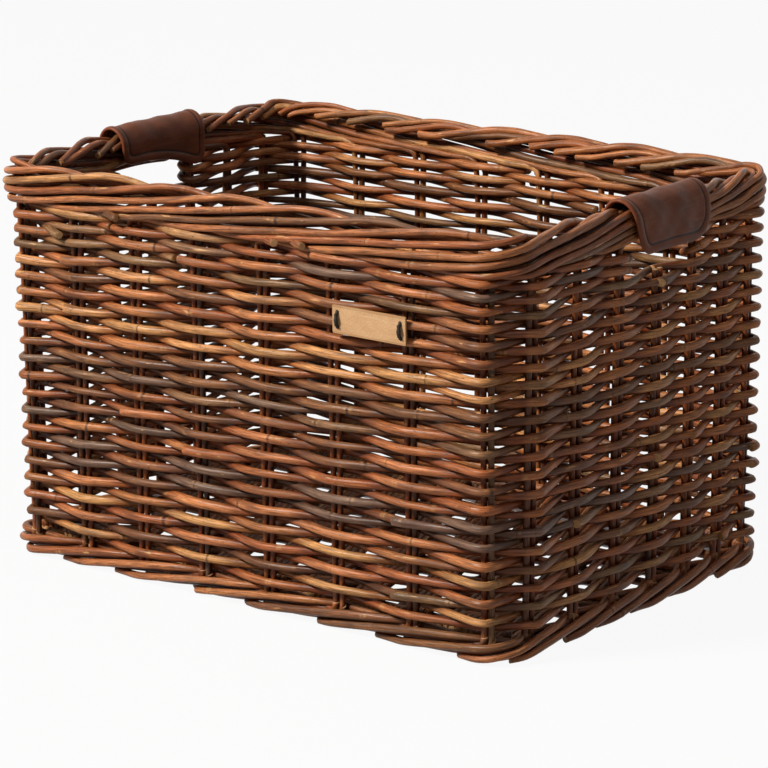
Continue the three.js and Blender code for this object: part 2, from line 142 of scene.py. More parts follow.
@dataclass
class Plan:
    """The basket's plan and heights in millimetres: where rods run, before they have any girth."""

    rim_length: float = 460.0
    rim_width: float = 320.0
    crown: float = 287.0
    lean: float = 4.0
    corner_radius: float = 24.0
    border_half: float = 8.7
    centre_y: float = 0.0
    border_middle: float = 272.9
    border_edge: float = 258.0
    foot_middle: float = 8.8
    foot_edge: float = 21.0
    stations: list[Station] = field(init=False)
    ring_length: float = field(init=False)

    def __post_init__(self) -> None:
        """Lays out the stations round the stake line."""
        self.half = (self.rim_length / 2 - self.border_half, self.rim_width / 2 - self.border_half)
        self.sides = [2 * self.half[0], 2 * self.half[1]] * 2
        self.corner_arc = math.pi / 2 * self.corner_radius
        self.stations = [s for side in range(4) for s in self._along_wall(side)]
        self.ring_length = sum(self._side_length(side) for side in range(4))
        self.marks = np.array([s.distance for s in self.stations])

    def _side_length(self, side: int) -> float:
        """The stake line's length from the middle of one corner to the middle of the next."""
        return self.sides[side] - 2 * self.corner_radius + self.corner_arc

    def _along_wall(self, side: int) -> list[Station]:
        """The stations of one wall, with gaps that grow or shrink evenly.

        Args:
            side: The wall's number, anticlockwise from the front.

        Returns:
            Its stations in order.
        """
        wall = WALLS[side]
        start = sum(self._side_length(k) for k in range(side))
        span = self.sides[side] + 2 * self.border_half - wall.from_start - wall.from_end
        first = 2 * span / (wall.pairs - 1) / (1 + wall.last_over_first)
        growth = first * (wall.last_over_first - 1) / (wall.pairs - 2)
        made = []
        for k in range(wall.pairs):
            place = wall.from_start - self.border_half + k * first + growth * k * (k - 1) / 2
            made.append(Station(start + self._round_corner(place, side), wall.name, k + 1))
        return made

    def _round_corner(self, place: float, side: int) -> float:
        """A distance from the sharp corner as a distance along the rounded stake line.

        Args:
            place: The distance from the corner where the wall starts.
            side: The wall's number.

        Returns:
            The distance from the middle of the rounded corner.
        """
        radius, length = self.corner_radius, self.sides[side]
        half_arc = self.corner_arc / 2
        if place < radius:
            return max(place, 0.0) / radius * half_arc
        if place > length - radius:
            return self._side_length(side) - max(length - place, 0.0) / radius * half_arc
        return half_arc + place - radius

    @property
    def count(self) -> int:
        """How many stake pairs stand round the basket."""
        return len(self.stations)

    def along(self, position: Array) -> Array:
        """Distances along the stake line for positions counted in stations.

        Args:
            position: Station numbers with fractions, which may run past a full round.

        Returns:
            Distances, growing by the ring's length with each round.
        """
        position = np.asarray(position, float)
        whole = np.floor(position).astype(int)
        rounds, index = np.divmod(whole, self.count)
        here = self.marks[index]
        following = self.marks[(index + 1) % self.count]
        after = np.where(index + 1 < self.count, following, self.marks[0] + self.ring_length)
        return rounds * self.ring_length + here + (after - here) * (position - whole)

    def mark(self, index: int) -> float:
        """The distance along the stake line of one station."""
        return float(self.along(np.array([index]))[0])

    def ring(self, distance: Array) -> tuple[Array, Array]:
        """Points and outward directions on the stake line.

        Args:
            distance: Distances along the line from the front left corner, anticlockwise.

        Returns:
            The points and the outward unit vectors, both as rows of x and y.
        """
        distance = np.mod(np.asarray(distance, float), self.ring_length)
        points = np.zeros((len(distance), 2))
        normals = np.zeros((len(distance), 2))
        start = 0.0
        for side in range(4):
            length = self._side_length(side)
            inside = (distance >= start) & (distance < start + length)
            local = distance[inside] - start
            turn = side * math.pi / 2
            ahead = np.array([math.cos(turn), math.sin(turn)])
            out = np.array([math.sin(turn), -math.cos(turn)])
            half_side, half_across = self.sides[side] / 2, self.sides[(side + 1) % 4] / 2
            half_arc = self.corner_arc / 2
            past = np.clip(local - (length - half_arc), 0, None)
            before = np.clip(half_arc - local, 0, None)
            angle = (past - before) / self.corner_radius
            straight = np.clip(local, half_arc, length - half_arc) - half_arc
            centre = (-half_side + self.corner_radius + straight)[:, None] * ahead
            centre = centre + (half_across - self.corner_radius) * out
            normal = np.cos(angle)[:, None] * out + np.sin(angle)[:, None] * ahead
            points[inside] = centre + self.corner_radius * normal
            normals[inside] = normal
            start += length
        return points, normals

    def place(self, distance: Array, offset: Array, height: Array) -> Array:
        """Points of the leaning wall.

        Args:
            distance: Distances along the stake line.
            offset: How far outwards of the stakes' middle.
            height: Heights above the floor.

        Returns:
            Rows of x, y and z.
        """
        points, normals = self.ring(distance)
        lean = self.lean * (np.asarray(height, float) / self.crown - 1)
        flat = points + normals * (offset + lean)[:, None]
        return np.column_stack([flat[:, 0], flat[:, 1] + self.centre_y, height])

    def exposure(self, points: Array) -> Array:
        """How far points stand proud of the middle of the work; the rod finish paints shade where they lie deep.

        Args:
            points: Rows of x, y and z.

        Returns:
            Millimetres from the middle of the wall, or of the border or foot less what lies deep there.
        """
        deep, fade = 3.0, 7.0
        x, y, z = points.T
        lean = self.lean * (z / self.crown - 1) - self.corner_radius
        past = np.abs(np.column_stack([x, y - self.centre_y])) - self.half - lean[:, None]
        outside = np.hypot(*np.maximum(past, 0).T) + np.minimum(past.max(axis=1), 0) - self.corner_radius
        proud = np.abs(outside)
        for middle, edge, side in (
            (self.border_middle, self.border_edge, 1.0),
            (self.foot_middle, self.foot_edge, -1.0),
        ):
            share = np.clip(side * (z - edge) / fade, 0, 1)
            proud = (1 - share) * proud + share * (np.hypot(outside, z - middle) - deep)
        return proud


class Hue(Enum):
    """Bark and stain of a rod: the colour that it shows in plain light."""

    CHESTNUT = "#a6683e"
    RUSSET = "#93552f"
    HONEY = "#b98351"
    UMBER = "#744a2d"
    ASH = "#866140"
    DRIFT = "#6e5241"


@dataclass(frozen=True)
class HueMix:
    """How often each colour of rod turns up in one piece of work."""

    chestnut: float = 0.4
    russet: float = 0.27
    honey: float = 0.1
    umber: float = 0.14
    ash: float = 0.06
    drift: float = 0.03
    light: tuple[float, float] = (0.76, 1.14)

    def pick(self, rng: np.random.Generator) -> tuple[float, float, float]:
        """A rod's own colour.

        Args:
            rng: The source of chance.

        Returns:
            The colour in linear light, with a little variation in lightness.
        """
        shares = np.array([self.chestnut, self.russet, self.honey, self.umber, self.ash, self.drift])
        hue = list(Hue)[rng.choice(len(shares), p=shares / shares.sum())]
        light = rng.uniform(*self.light)
        red, green, blue = linear(hue.value)
        return red * light, green * light * rng.uniform(0.96, 1.04), blue * light


@dataclass
class Rod:
    """One rod: its centre line and girth in millimetres, and its colour and taper.

    The swell is how far along it the rod starts to grow thicker or thinner, and by how much in the end.
    """

    path: Array
    radius: float
    tint: tuple[float, float, float]
    taper: float = 0.0
    knuckles: bool = True
    swell: tuple[float, float] = (0.0, 1.0)


class RodBundle:
    """Collects rods into one mesh, with what the rod finish needs to know at each point. Sizes are in mm."""

    LAYERS = ("grain", "tint", "knuckle", "cut", "exposure")

    SIDES = 12
    STEP = 3.2
    KNUCKLE_GAP = (70.0, 190.0)
    FIRST_KNUCKLE = 8.0
    KNUCKLE_SWELL = 0.07
    KNUCKLE_WIDTH = 1.6
    KNUCKLE_RINGS = (-1.8, -0.7, 0.0, 0.7, 1.8)
    KNUCKLE_CLEAR = 2.4
    KNUCKLE_FROM_END = 4.0
    FAINTEST = 2.4
    FAR = 20.0
    BELLY = 0.035
    UNEVEN = 0.022
    SLOW_WAVE = 37
    QUICK_WAVE = 13
    QUICK_SHARE = 0.6
    LOBE_RUN = 60
    GRAIN_SHIFT = 4000
    SWELL_RUN = 40
    SLANT = 0.55
    CUT_RIM = 0.84
    CUT_PROUD = (0.35, 0.45)
    CUT_SHARE = 0.9

    def __init__(self, name: str, seed: int, plan: Plan) -> None:
        """Starts an empty bundle.

        Args:
            name: The name of the piece.
            seed: The seed of its own source of chance.
            plan: The basket's plan, which tells proud parts from deep ones.
        """
        self.name = name
        self.rng = np.random.default_rng(seed)
        self.plan = plan
        self.points: list[Array] = []
        self.faces: list[tuple[int, ...]] = []
        self.smooth: list[bool] = []
        self.layers: dict[str, list[Array]] = {key: [] for key in self.LAYERS}
        self.total = 0

    def _rings(self, rod: Rod) -> tuple[Array, Array, Array]:
        """Places rings along a rod, close together at its knuckles.

        Args:
            rod: The rod.

        Returns:
            Distances along the rod, the points there and the distance of each to the nearest knuckle.
        """
        steps = np.linalg.norm(np.diff(rod.path, axis=0), axis=1)
        run = np.concatenate([[0], np.cumsum(steps)])
        length = run[-1]
        marks = list(np.linspace(0, length, max(int(length / self.STEP), 3) + 1))
        knuckles = []
        place = self.rng.uniform(self.FIRST_KNUCKLE, self.KNUCKLE_GAP[1])
        while rod.knuckles and place < length - self.KNUCKLE_FROM_END:
            knuckles.append(place)
            place += self.rng.uniform(*self.KNUCKLE_GAP)
        for middle in knuckles:
            marks = [m for m in marks if abs(m - middle) > self.KNUCKLE_CLEAR or m in (0, length)]
            marks += [middle + shift for shift in self.KNUCKLE_RINGS]
        at = np.array(sorted(m for m in marks if 0 <= m <= length))
        near = np.full(len(at), self.FAR)
        for middle in knuckles:
            near = np.minimum(near, np.abs(at - middle) + self.rng.uniform(0, self.FAINTEST))
        return at, np.column_stack([np.interp(at, run, rod.path[:, k]) for k in range(3)]), near

    @staticmethod
    def _sections(points: Array) -> tuple[Array, Array, Array]:
        """The direction of a rod at each point and two directions across it, carried along without twist.

        Args:
            points: Points along the rod.

        Returns:
            The three directions at each point.
        """
        ahead = np.gradient(points, axis=0)
        ahead /= np.linalg.norm(ahead, axis=1)[:, None]
        side = np.cross(ahead[0], (0.0, 0.0, 1.0))
        # A rod that starts nearly upright takes another direction to cross with.
        if np.linalg.norm(side) < 0.3:
            side = np.cross(ahead[0], (0.0, 1.0, 0.0))
        sides = np.empty_like(points)
        for k, direction in enumerate(ahead):
            side = side - direction * side.dot(direction)
            side = side / math.sqrt(side.dot(side))
            sides[k] = side
        return ahead, sides, np.cross(ahead, sides)

    def add(self, rod: Rod) -> None:
        """Adds one rod as a tube with cut ends.

        Args:
            rod: The rod.
        """
        at, points, near = self._rings(rod)
        ahead, sides, ups = self._sections(points)
        count, around = len(at), self.SIDES
        phase = self.rng.uniform(0, 2 * math.pi, 4)
        quick = self.QUICK_SHARE * np.sin(at / self.QUICK_WAVE + phase[1])
        wave = np.sin(at / self.SLOW_WAVE + phase[0]) + quick
        swell = self.KNUCKLE_SWELL * np.exp(-((near / self.KNUCKLE_WIDTH) ** 2))
        girth = rod.radius * (1 + rod.taper * (0.5 - at / at[-1])) * (1 + self.UNEVEN * wave + swell)
        girth = girth * (1 + (rod.swell[1] - 1) * np.clip((at - rod.swell[0]) / self.SWELL_RUN, 0, 1))
        angles = 2 * math.pi * np.arange(around) / around
        lobes = 1 + self.BELLY * np.sin(2 * angles[None, :] + phase[2] + at[:, None] / self.LOBE_RUN)
        wide = girth[:, None] * lobes * np.cos(angles)
        tall = girth[:, None] * lobes * np.sin(angles)
        body = points[:, None] + wide[..., None] * sides[:, None] + tall[..., None] * ups[:, None]
        grain_start = self.rng.uniform(0, self.GRAIN_SHIFT)
        grain = np.stack([np.repeat(at[:, None], around, 1) + grain_start, wide, tall], axis=-1)
        # Each end is cut aslant, with a small worn rim round a low tip.
        rims, rim_grain = [], []
        for ring, sign in ((0, -1.0), (count - 1, 1.0)):
            out = ahead[ring] * sign
            slant = self.rng.uniform(-self.SLANT, self.SLANT)
            body[ring] += (slant * wide[ring])[:, None] * out
            rims.append(points[ring] + self.CUT_RIM * (body[ring] - points[ring]) + self.CUT_PROUD[0] * out)
            rims.append((points[ring] + self.CUT_PROUD[1] * out)[None])
            rim_grain += [grain[ring], grain[ring].mean(axis=0)[None]]
        verts = np.concatenate([body.reshape(-1, 3), *rims])
        tube, caps = count * around, 2 * (around + 1)
        index = self.total + np.arange(tube).reshape(count, around)
        lower, upper = index[:-1], index[1:]
        self._keep(True, lower, np.roll(lower, -1, 1), np.roll(upper, -1, 1), upper)
        for ring, first, turn in ((index[0][::-1], tube, -1), (index[-1], tube + around + 1, 1)):
            rim = (self.total + first + np.arange(around))[::turn]
            tip = np.full(around, self.total + first + around)
            self._keep(False, ring, np.roll(ring, -1), np.roll(rim, -1), rim)
            self._keep(False, rim, np.roll(rim, -1), tip)
        self.points.append(verts)
        for key, values in {
            "grain": np.concatenate([grain.reshape(-1, 3), *rim_grain]),
            "knuckle": np.concatenate([np.repeat(near, around), np.full(caps, self.FAR)]),
            "cut": np.concatenate([np.zeros(tube), np.full(caps, self.CUT_SHARE)]),
            "tint": np.tile([*rod.tint, 1.0], (len(verts), 1)),
            "exposure": self.plan.exposure(verts),
        }.items():
            self.layers[key].append(values)
        self.total += len(verts)

    def _keep(self, smooth: bool, *corners: Array) -> None:
        """Keeps faces.

        Args:
            smooth: Whether they are shaded smoothly.
            corners: The numbers of their first points, of their second points and so on.
        """
        faces = np.stack(corners, axis=-1).reshape(-1, len(corners)).tolist()
        self.faces += [tuple(face) for face in faces]
        self.smooth += [smooth] * len(faces)

    def make(self, finish: bpy.types.Material, nodes: Sequence[str], slot: str) -> None:
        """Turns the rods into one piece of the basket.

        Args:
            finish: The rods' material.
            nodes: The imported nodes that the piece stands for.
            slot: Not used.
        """
        mesh = bpy.data.meshes.new(self.name)
        mesh.from_pydata((np.concatenate(self.points) * MM).tolist(), [], self.faces)
        mesh.polygons.foreach_set("use_smooth", self.smooth)
        seat(mesh, finish, {key: np.concatenate(values) for key, values in self.layers.items()}, nodes)


LAYER_KINDS = {
    "tint": ("FLOAT_COLOR", "color"),
    "grain": ("FLOAT_VECTOR", "vector"),
    "sheet": ("FLOAT_VECTOR", "vector"),
}


def seat(
    mesh: bpy.types.Mesh,
    finish: bpy.types.Material,
    layers: Mapping[str, Array],
    nodes: Sequence[str],
) -> None:
    """Puts a mesh into the scene as a piece that rides on the basket, named as the mesh is.

    Args:
        mesh: The mesh, in metres.
        finish: Its material.
        layers: What the material needs to know at each point, by name.
        nodes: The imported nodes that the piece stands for.
    """
    for name, values in layers.items():
        kind, key = LAYER_KINDS.get(name, ("FLOAT", "value"))
        mesh.attributes.new(name, kind, "POINT").data.foreach_set(key, values.ravel())
    mesh.materials.clear()
    mesh.materials.append(finish)
    mesh.update()
    piece = bpy.data.objects.new(mesh.name, mesh)
    bpy.context.scene.collection.objects.link(piece)
    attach(piece, "root")
    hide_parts(*nodes)
    LOG.info("%s: %d faces, stands for %s", piece.name, len(mesh.polygons), ", ".join(nodes))


def blank_material(name: str) -> tuple[bpy.types.Material, bpy.types.NodeTree]:
    """Starts a material.

    Args:
        name: Its name.

    Returns:
        The material, with no nodes yet, and its node tree.
    """
    material = bpy.data.materials.new(name)
    material.use_nodes = True
    material.node_tree.nodes.clear()
    return material, material.node_tree


@dataclass(frozen=True)
class Pattern:
    """A noise on the surface: how long its features are along it and across it, in millimetres.

    Detail is how many finer layers the noise has, and shift sets it apart from the other patterns.
    """

    along: float
    across: float
    detail: float
    shift: float


@dataclass(frozen=True)
class Mask:
    """Where something shows: a measure of the surface, stretched smoothly from one range to another."""

    source: str
    low: float
    high: float
    start: float = 0.0
    end: float = 1.0


@dataclass(frozen=True)
class Coat:
    """A colour, as a hex code or socket, that lies over the others as strongly as its masks say together."""

    colour: str | bpy.types.NodeSocket
    masks: tuple[Mask | str, ...] = ()
    blend: str = "MIX"


class Skin:
    """The nodes of one material: measures of the surface, and coats of colour that follow them."""

    def __init__(self, name: str, space: str, layers: Sequence[str], patterns: Mapping[str, Pattern]) -> None:
        """Starts a material.

        Args:
            name: The material's name.
            space: The mesh layer that holds places on the surface in millimetres.
            layers: The mesh layers that hold measures.
            patterns: The patterns, by name.
        """
        self.material, self.tree = blank_material(name)
        read = {
            key: add_node(self.tree, "ShaderNodeAttribute", {"attribute_name": key}).outputs
            for key in (space, *layers)
        }
        self.measures = {key: read[key]["Color" if key == "tint" else "Fac"] for key in layers}
        for key, pattern in patterns.items():
            # Places are in millimetres, so a scale of one over the size gives features of about that size.
            scale = (1 / pattern.along, 1 / pattern.across, 1 / pattern.across)
            place = {"Vector": read[space]["Vector"], "Location": (pattern.shift,) * 3, "Scale": scale}
            placed = add_node(self.tree, "ShaderNodeMapping", inputs=place).outputs[0]
            grain = {"Vector": placed, "Scale": 1.0, "Detail": pattern.detail}
            self.measures[key] = add_node(self.tree, "ShaderNodeTexNoise", inputs=grain).outputs[0]

    def strength(self, *masks: Mask | str) -> bpy.types.NodeSocket | float:
        """How strongly masks call for something together.

        Args:
            masks: The masks, or names of measures that are taken as they are.

        Returns:
            Their product, which is one without any.
        """
        total = None
        for mask in masks:
            if isinstance(mask, str):
                value = self.measures[mask]
            else:
                ranges = {"From Min": mask.low, "From Max": mask.high, "To Min": mask.start, "To Max": mask.end}
                value = add_node(
                    self.tree,
                    "ShaderNodeMapRange",
                    {"interpolation_type": "SMOOTHSTEP"},
                    {"Value": self.measures[mask.source], **ranges},
                ).outputs[0]
            if total is not None:
                both = {0: total, 1: value}
                value = add_node(self.tree, "ShaderNodeMath", {"operation": "MULTIPLY"}, both).outputs[0]
            total = value
        return 1.0 if total is None else total

    def lay(self, ground: str | bpy.types.NodeSocket, *coats: Coat) -> bpy.types.NodeSocket:
        """Lays coats of colour over a ground, in order.

        Args:
            ground: The first colour, as a hex code or socket.
            coats: The coats.

        Returns:
            The colour that shows in the end.
        """
        colour = ground
        for coat in coats:
            under, over = ((*linear(c), 1.0) if isinstance(c, str) else c for c in (colour, coat.colour))
            colour = add_node(
                self.tree,
                "ShaderNodeMix",
                {"data_type": "RGBA", "blend_type": coat.blend},
                {0: self.strength(*coat.masks), 6: under, 7: over},
            ).outputs[2]
        return colour

    def blend(self, first: Mask | str, second: Mask | str, share: float) -> bpy.types.NodeSocket:
        """Two measures as one, of which the second has a share.

        Args:
            first: One measure or mask.
            second: The other.
            share: The second one's share, from 0 to 1.

        Returns:
            The blended measure.
        """
        inputs = {0: share, 2: self.strength(first), 3: self.strength(second)}
        return add_node(self.tree, "ShaderNodeMix", {"data_type": "FLOAT"}, inputs).outputs[0]

    def close(
        self,
        finish: "RodFinish | LeatherFinish | CordFinish",
        colour: bpy.types.NodeSocket,
        height: bpy.types.NodeSocket,
        roughness: bpy.types.NodeSocket | float,
    ) -> bpy.types.Material:
        """Closes the material.

        Args:
            finish: The finish, which says how deep its relief is and how it reflects.
            colour: The base colour.
            height: The relief, from 0 to 1.
            roughness: The roughness.

        Returns:
            The finished material.
        """
        relief = {"Height": height, "Strength": 0.7, "Distance": finish.relief * MM}
        surface = {
            "Base Color": colour,
            "Roughness": roughness,
            "IOR": finish.ior,
            # The share of the mirror-like light that gets past pores and dust.
            "Specular IOR Level": finish.shine,
            "Normal": add_node(self.tree, "ShaderNodeBump", inputs=relief).outputs[0],
        }
        shader = add_node(self.tree, "ShaderNodeBsdfPrincipled", inputs=surface)
        add_node(self.tree, "ShaderNodeOutputMaterial", inputs={"Surface": shader.outputs[0]})
        return self.material


@dataclass(frozen=True)
class RodFinish:
    """Willow rods with their bark on, stained in a brown bath: satin, with grain, dark knuckles and scuffs."""

    name: str = "stained_rods"
    roughness: tuple[float, float] = (0.34, 0.52)
    ior: float = 1.5
    shine: float = 0.2
    relief: float = 0.32
    streak: tuple[float, float] = (14.0, 0.7)
    patch: tuple[float, float] = (70.0, 6.0)
    cloud: tuple[float, float] = (35.0, 6.0)
    # Real pores are finer than this, and are drawn as coarse as they need to show.
    speck: tuple[float, float] = (2.16, 0.9)
    scuff: tuple[float, float] = (14.0, 2.6)
    # A warm brown that darkens the depth of the work: painted shade.
    painted_recess_shade: str = "#bda186"
    grey: str = "#7a6252"
    smoke: str = "#3b2115"
    dark: str = "#1f120b"
    bare: str = "#c69a66"
    pith: str = "#ab8157"

    def make(self) -> bpy.types.Material:
        """Builds the finish.

        Returns:
            The material, driven by the layers of a rod bundle.
        """
        # Bark splits and stains along the rod, so every pattern is drawn out that way.
        patterns = {
            "streaks": Pattern(*self.streak, 4.0, 0.0),
            "patches": Pattern(*self.patch, 3.0, 31.0),
            "clouds": Pattern(*self.cloud, 4.0, 113.0),
            "specks": Pattern(*self.speck, 2.0, 57.0),
            "scuffs": Pattern(*self.scuff, 5.0, 83.0),
        }
        skin = Skin(self.name, "grain", ("tint", "knuckle", "cut", "exposure"), patterns)
        flaked = (Mask("knuckle", 1.2, 2.2), Mask("knuckle", 2.6, 5.0, 0.3, 0.0))
        wood = skin.lay(
            self.pith,
            Coat(self.bare, ("streaks",)),
            Coat(self.smoke, (Mask("specks", 0.5, 0.7, 0.0, 0.5),)),
        )
        colour = skin.lay(
            skin.measures["tint"],
            Coat(skin.strength(Mask("streaks", 0.27, 0.73, 0.42, 1.45)), blend="MULTIPLY"),
            # Painted shade: the depth of the work, where the rods shade each other, is darkened to a warm brown.
            Coat(self.painted_recess_shade, (Mask("exposure", 1.2, 5.6, 1.0, 0.0),), "MULTIPLY"),
            # Rods dried before staining take up less of it and stay greyer; others blacken in the bath.
            Coat(self.grey, (Mask("patches", 0.56, 0.72, 0.0, 0.24),)),
            Coat(self.smoke, (Mask("clouds", 0.5, 0.3, 0.0, 0.55),)),
            # Pores and bark freckles.
            Coat(self.dark, (Mask("specks", 0.62, 0.72, 0.0, 0.7),)),
            # Rubbed spots, where the stain is gone and bare wood shows.
            Coat(self.bare, (Mask("scuffs", 0.64, 0.72, 0.0, 0.75), Mask("exposure", 3.0, 7.0, 0.1, 1.0))),
            # A knuckle is a dark scar with a pale rim where the bark has flaked.
            Coat(self.bare, (*flaked, Mask("scuffs", 0.48, 0.6))),
            Coat(self.dark, (Mask("knuckle", 0.5, 1.7, 0.8, 0.0), Mask("clouds", 0.35, 0.55, 0.35, 1.0))),
            # Cut ends show the pale pith.
            Coat(wood, ("cut",)),
        )
        height = skin.blend("streaks", Mask("specks", 0.6, 0.75, 1.0, 0.0), 0.3)
        return skin.close(self, colour, height, skin.strength(Mask("patches", 0.3, 0.7, *self.roughness)))


@dataclass(frozen=True)
class LeatherFinish:
    """Cowhide, tanned and dyed: waxed and darkened where hands hold it, or plain and tan on the label."""

    name: str
    colour: str
    deep: str
    crease_tone: str
    edge: str
    seam: str = "#1d0f0a"
    roughness: tuple[float, float] = (0.45, 0.52)
    ior: float = 1.48
    shine: float = 0.14
    relief: float = 0.16
    grain: float = 0.9
    crease: tuple[float, float] = (26.0, 3.2)
    cloud: tuple[float, float] = (22.0, 16.0)
    seam_inset: float = SEAM_INSET
    seam_wide: float = 1.5

    def make(self) -> bpy.types.Material:
        """Builds the finish.

        Returns:
            The material, driven by places on the sheet and the distance from its rim, both in millimetres.
        """
        # The hide's own grain of fine pebbles, and soft creases where it has been bent over the border.
        patterns = {
            "pebbles": Pattern(self.grain, self.grain, 3.0, 5.0),
            "creases": Pattern(*self.crease, 4.0, 19.0),
            "clouds": Pattern(*self.cloud, 3.0, 43.0),
        }
        skin = Skin(self.name, "sheet", ("rim",), patterns)
        inset, wide = self.seam_inset, self.seam_wide
        colour = skin.lay(
            self.deep,
            Coat(self.colour, (Mask("clouds", 0.35, 0.65),)),
            # Paler on the ridges of the creases.
            Coat(self.crease_tone, (Mask("creases", 0.52, 0.7, 0.0, 0.5),)),
            Coat(skin.strength(Mask("pebbles", 0.3, 0.7, 0.86, 1.1)), blend="MULTIPLY"),
            # The cut edge shows the undyed middle of the hide, burnished by use.
            Coat(self.edge, (Mask("rim", 0.2, 1.3, 0.8, 0.0),)),
            # The groove of the seam is dark with wax and thread.
            Coat(self.seam, (Mask("rim", inset - wide, inset), Mask("rim", inset, inset + wide, 1.0, 0.0))),
        )
        height = skin.blend("pebbles", "creases", 0.5)
        return skin.close(self, colour, height, skin.strength(Mask("clouds", 0.3, 0.7, *self.roughness)))


@dataclass(frozen=True)
class CordFinish:
    """Dark waxed cotton cord: matte fibres twisted together."""

    name: str = "waxed_cord"
    colour: str = "#1d1815"
    fibre: str = "#3a312a"
    roughness: float = 0.7
    ior: float = 1.45
    shine: float = 0.3
    relief: float = 0.15
    fibres: tuple[float, float] = (3.0, 0.25)

    def make(self) -> bpy.types.Material:
        """Builds the finish.

        Returns:
            The material, driven by the grain layer of the cord.
        """
        skin = Skin(self.name, "grain", (), {"fibres": Pattern(*self.fibres, 3.0, 3.0)})
        colour = skin.lay(self.colour, Coat(self.fibre, (Mask("fibres", 0.4, 0.7),)))
        return skin.close(self, colour, skin.measures["fibres"], self.roughness)


@dataclass(frozen=True)
class Lane:
    """A strand's way through a rolled border, as it passes from station to station.

    Each stop is the number of stations passed, how far out of the border's middle the strand lies there and how
    far above it. They were set so that rods of one girth lie side by side at every cut through the border. A
    strand's centre line has a point at each spacing and one at its end, which is never nearer than the last gap.
    """

    stops: tuple[tuple[float, float, float], ...]
    spacing: float = 0.17
    last_gap: float = 0.1

    def place(self, turn: Array) -> tuple[Array, Array]:
        """Where the strand lies.

        Args:
            turn: Stations passed.

        Returns:
            Offsets outwards and upwards of the border's middle.
        """
        turns, out, up = np.array(self.stops).T
        return np.interp(turn, turns, out), np.interp(turn, turns, up)

    @property
    def first(self) -> float:
        """Where the lane starts."""
        return self.stops[0][0]

    def run(self, start: float, stray: float) -> tuple[float, Array]:
        """The places at which a strand's centre line is worked out.

        Args:
            start: Where the run starts, in stations passed.
            stray: How far past the lane's own end it runs, or before it where this is negative.

        Returns:
            Where the run ends, and the stations passed at each place.
        """
        end = self.stops[-1][0] + stray
        return end, np.append(np.arange(start, end - self.last_gap, self.spacing), end)


# The outer rod of a pair comes out from under the strand before it, climbs outside and rolls over the crown.
OVER_CROWN = Lane(
    (
        (0.22, 0.9, -12.3), (0.5, 1.6, -12.6), (0.85, 4.6, -12.0), (1.1, 5.9, -11.0), (1.9, 6.3, -6.1),
        (2.75, 6.2, -0.6), (3.6, 5.8, 5.0), (4.15, 4.8, 9.2), (4.5, 2.4, 11.6), (4.75, -1.4, 11.6),
        (5.0, -5.0, 9.2), (5.35, -7.0, 5.4), (5.7, -9.6, 1.6),
    )
)
# The inner rod of a pair closes the chinks behind it and shows only inside the basket.
BEHIND_CROWN = Lane(
    (
        (0.22, -2.6, -12.2), (0.5, -3.6, -12.1), (1.0, -2.8, -10.8), (1.5, -1.2, -8.8), (1.9, 0.1, -7.4),
        (2.75, 0.4, -2.6), (3.6, 0.0, 2.8), (4.05, -0.8, 6.2), (4.35, -2.0, 9.2), (4.6, -4.4, 8.8),
        (4.85, -6.1, 6.2), (5.3, -7.6, 1.6),
    )
)
# In the foot a rod passes behind the next pair, comes out over the strand before it and goes down and under.
UNDER_FOOT = Lane(
    (
        (0.08, -0.6, 3.2), (0.25, -2.0, 3.4), (0.5, -3.8, 4.6), (0.85, -4.9, 5.8), (1.05, -3.9, 6.5),
        (1.25, 0.6, 7.0), (1.5, 4.5, 6.8), (1.75, 5.7, 5.6), (2.1, 6.1, 3.0), (2.6, 6.0, -1.0),
        (3.0, 4.9, -4.4), (3.2, 2.8, -6.0), (3.4, 0.6, -6.1),
    )
)
# The other rod of the pair fills the chinks behind it.
BEHIND_FOOT = Lane(
    (
        (0.08, -1.2, 1.2), (0.3, -3.6, -0.6), (0.7, -4.8, 0.2), (1.0, -3.8, 1.4), (1.25, -0.6, 2.4),
        (1.5, 0.4, 2.6), (2.0, 0.6, 0.2), (2.5, 0.2, -3.0), (2.9, -1.6, -5.0), (3.2, -4.4, -5.8),
    )
)


def sway(rng: np.random.Generator, turns: Array, reach: float) -> Array:
    """How a springy rod strays from its lane: slowly, sideways and upwards.

    Args:
        rng: The source of chance.
        turns: Stations passed.
        reach: How far it strays, in millimetres.

    Returns:
        Two rows of shifts.
    """
    gap = 0.75
    marks = np.arange(turns[0] - 1, turns[-1] + 2 * gap, gap)
    return np.array([np.interp(turns, marks, rng.uniform(-reach, reach, len(marks))) for _ in range(2)])


def smooth_path(points: Array, step: float = 2.0) -> Array:
    """A smooth curve through points.

    Args:
        points: Rows of x, y and z.
        step: About how far apart the curve's own points are.

    Returns:
        The curve's points.
    """
    points = np.asarray(points, float)
    padded = np.vstack([2 * points[0] - points[1], points, 2 * points[-1] - points[-2]])
    made = []
    for k in range(1, len(padded) - 2):
        a, b, c, d = padded[k - 1 : k + 3]
        count = max(int(np.linalg.norm(c - b) / step), 1)
        t = np.linspace(0, 1, count, endpoint=False)[:, None]
        made.append(
            0.5 * (2 * b + (c - a) * t + (2 * a - 5 * b + 4 * c - d) * t**2 + (3 * b - a - 3 * c + d) * t**3)
        )
    return np.vstack([*made, points[-1]])


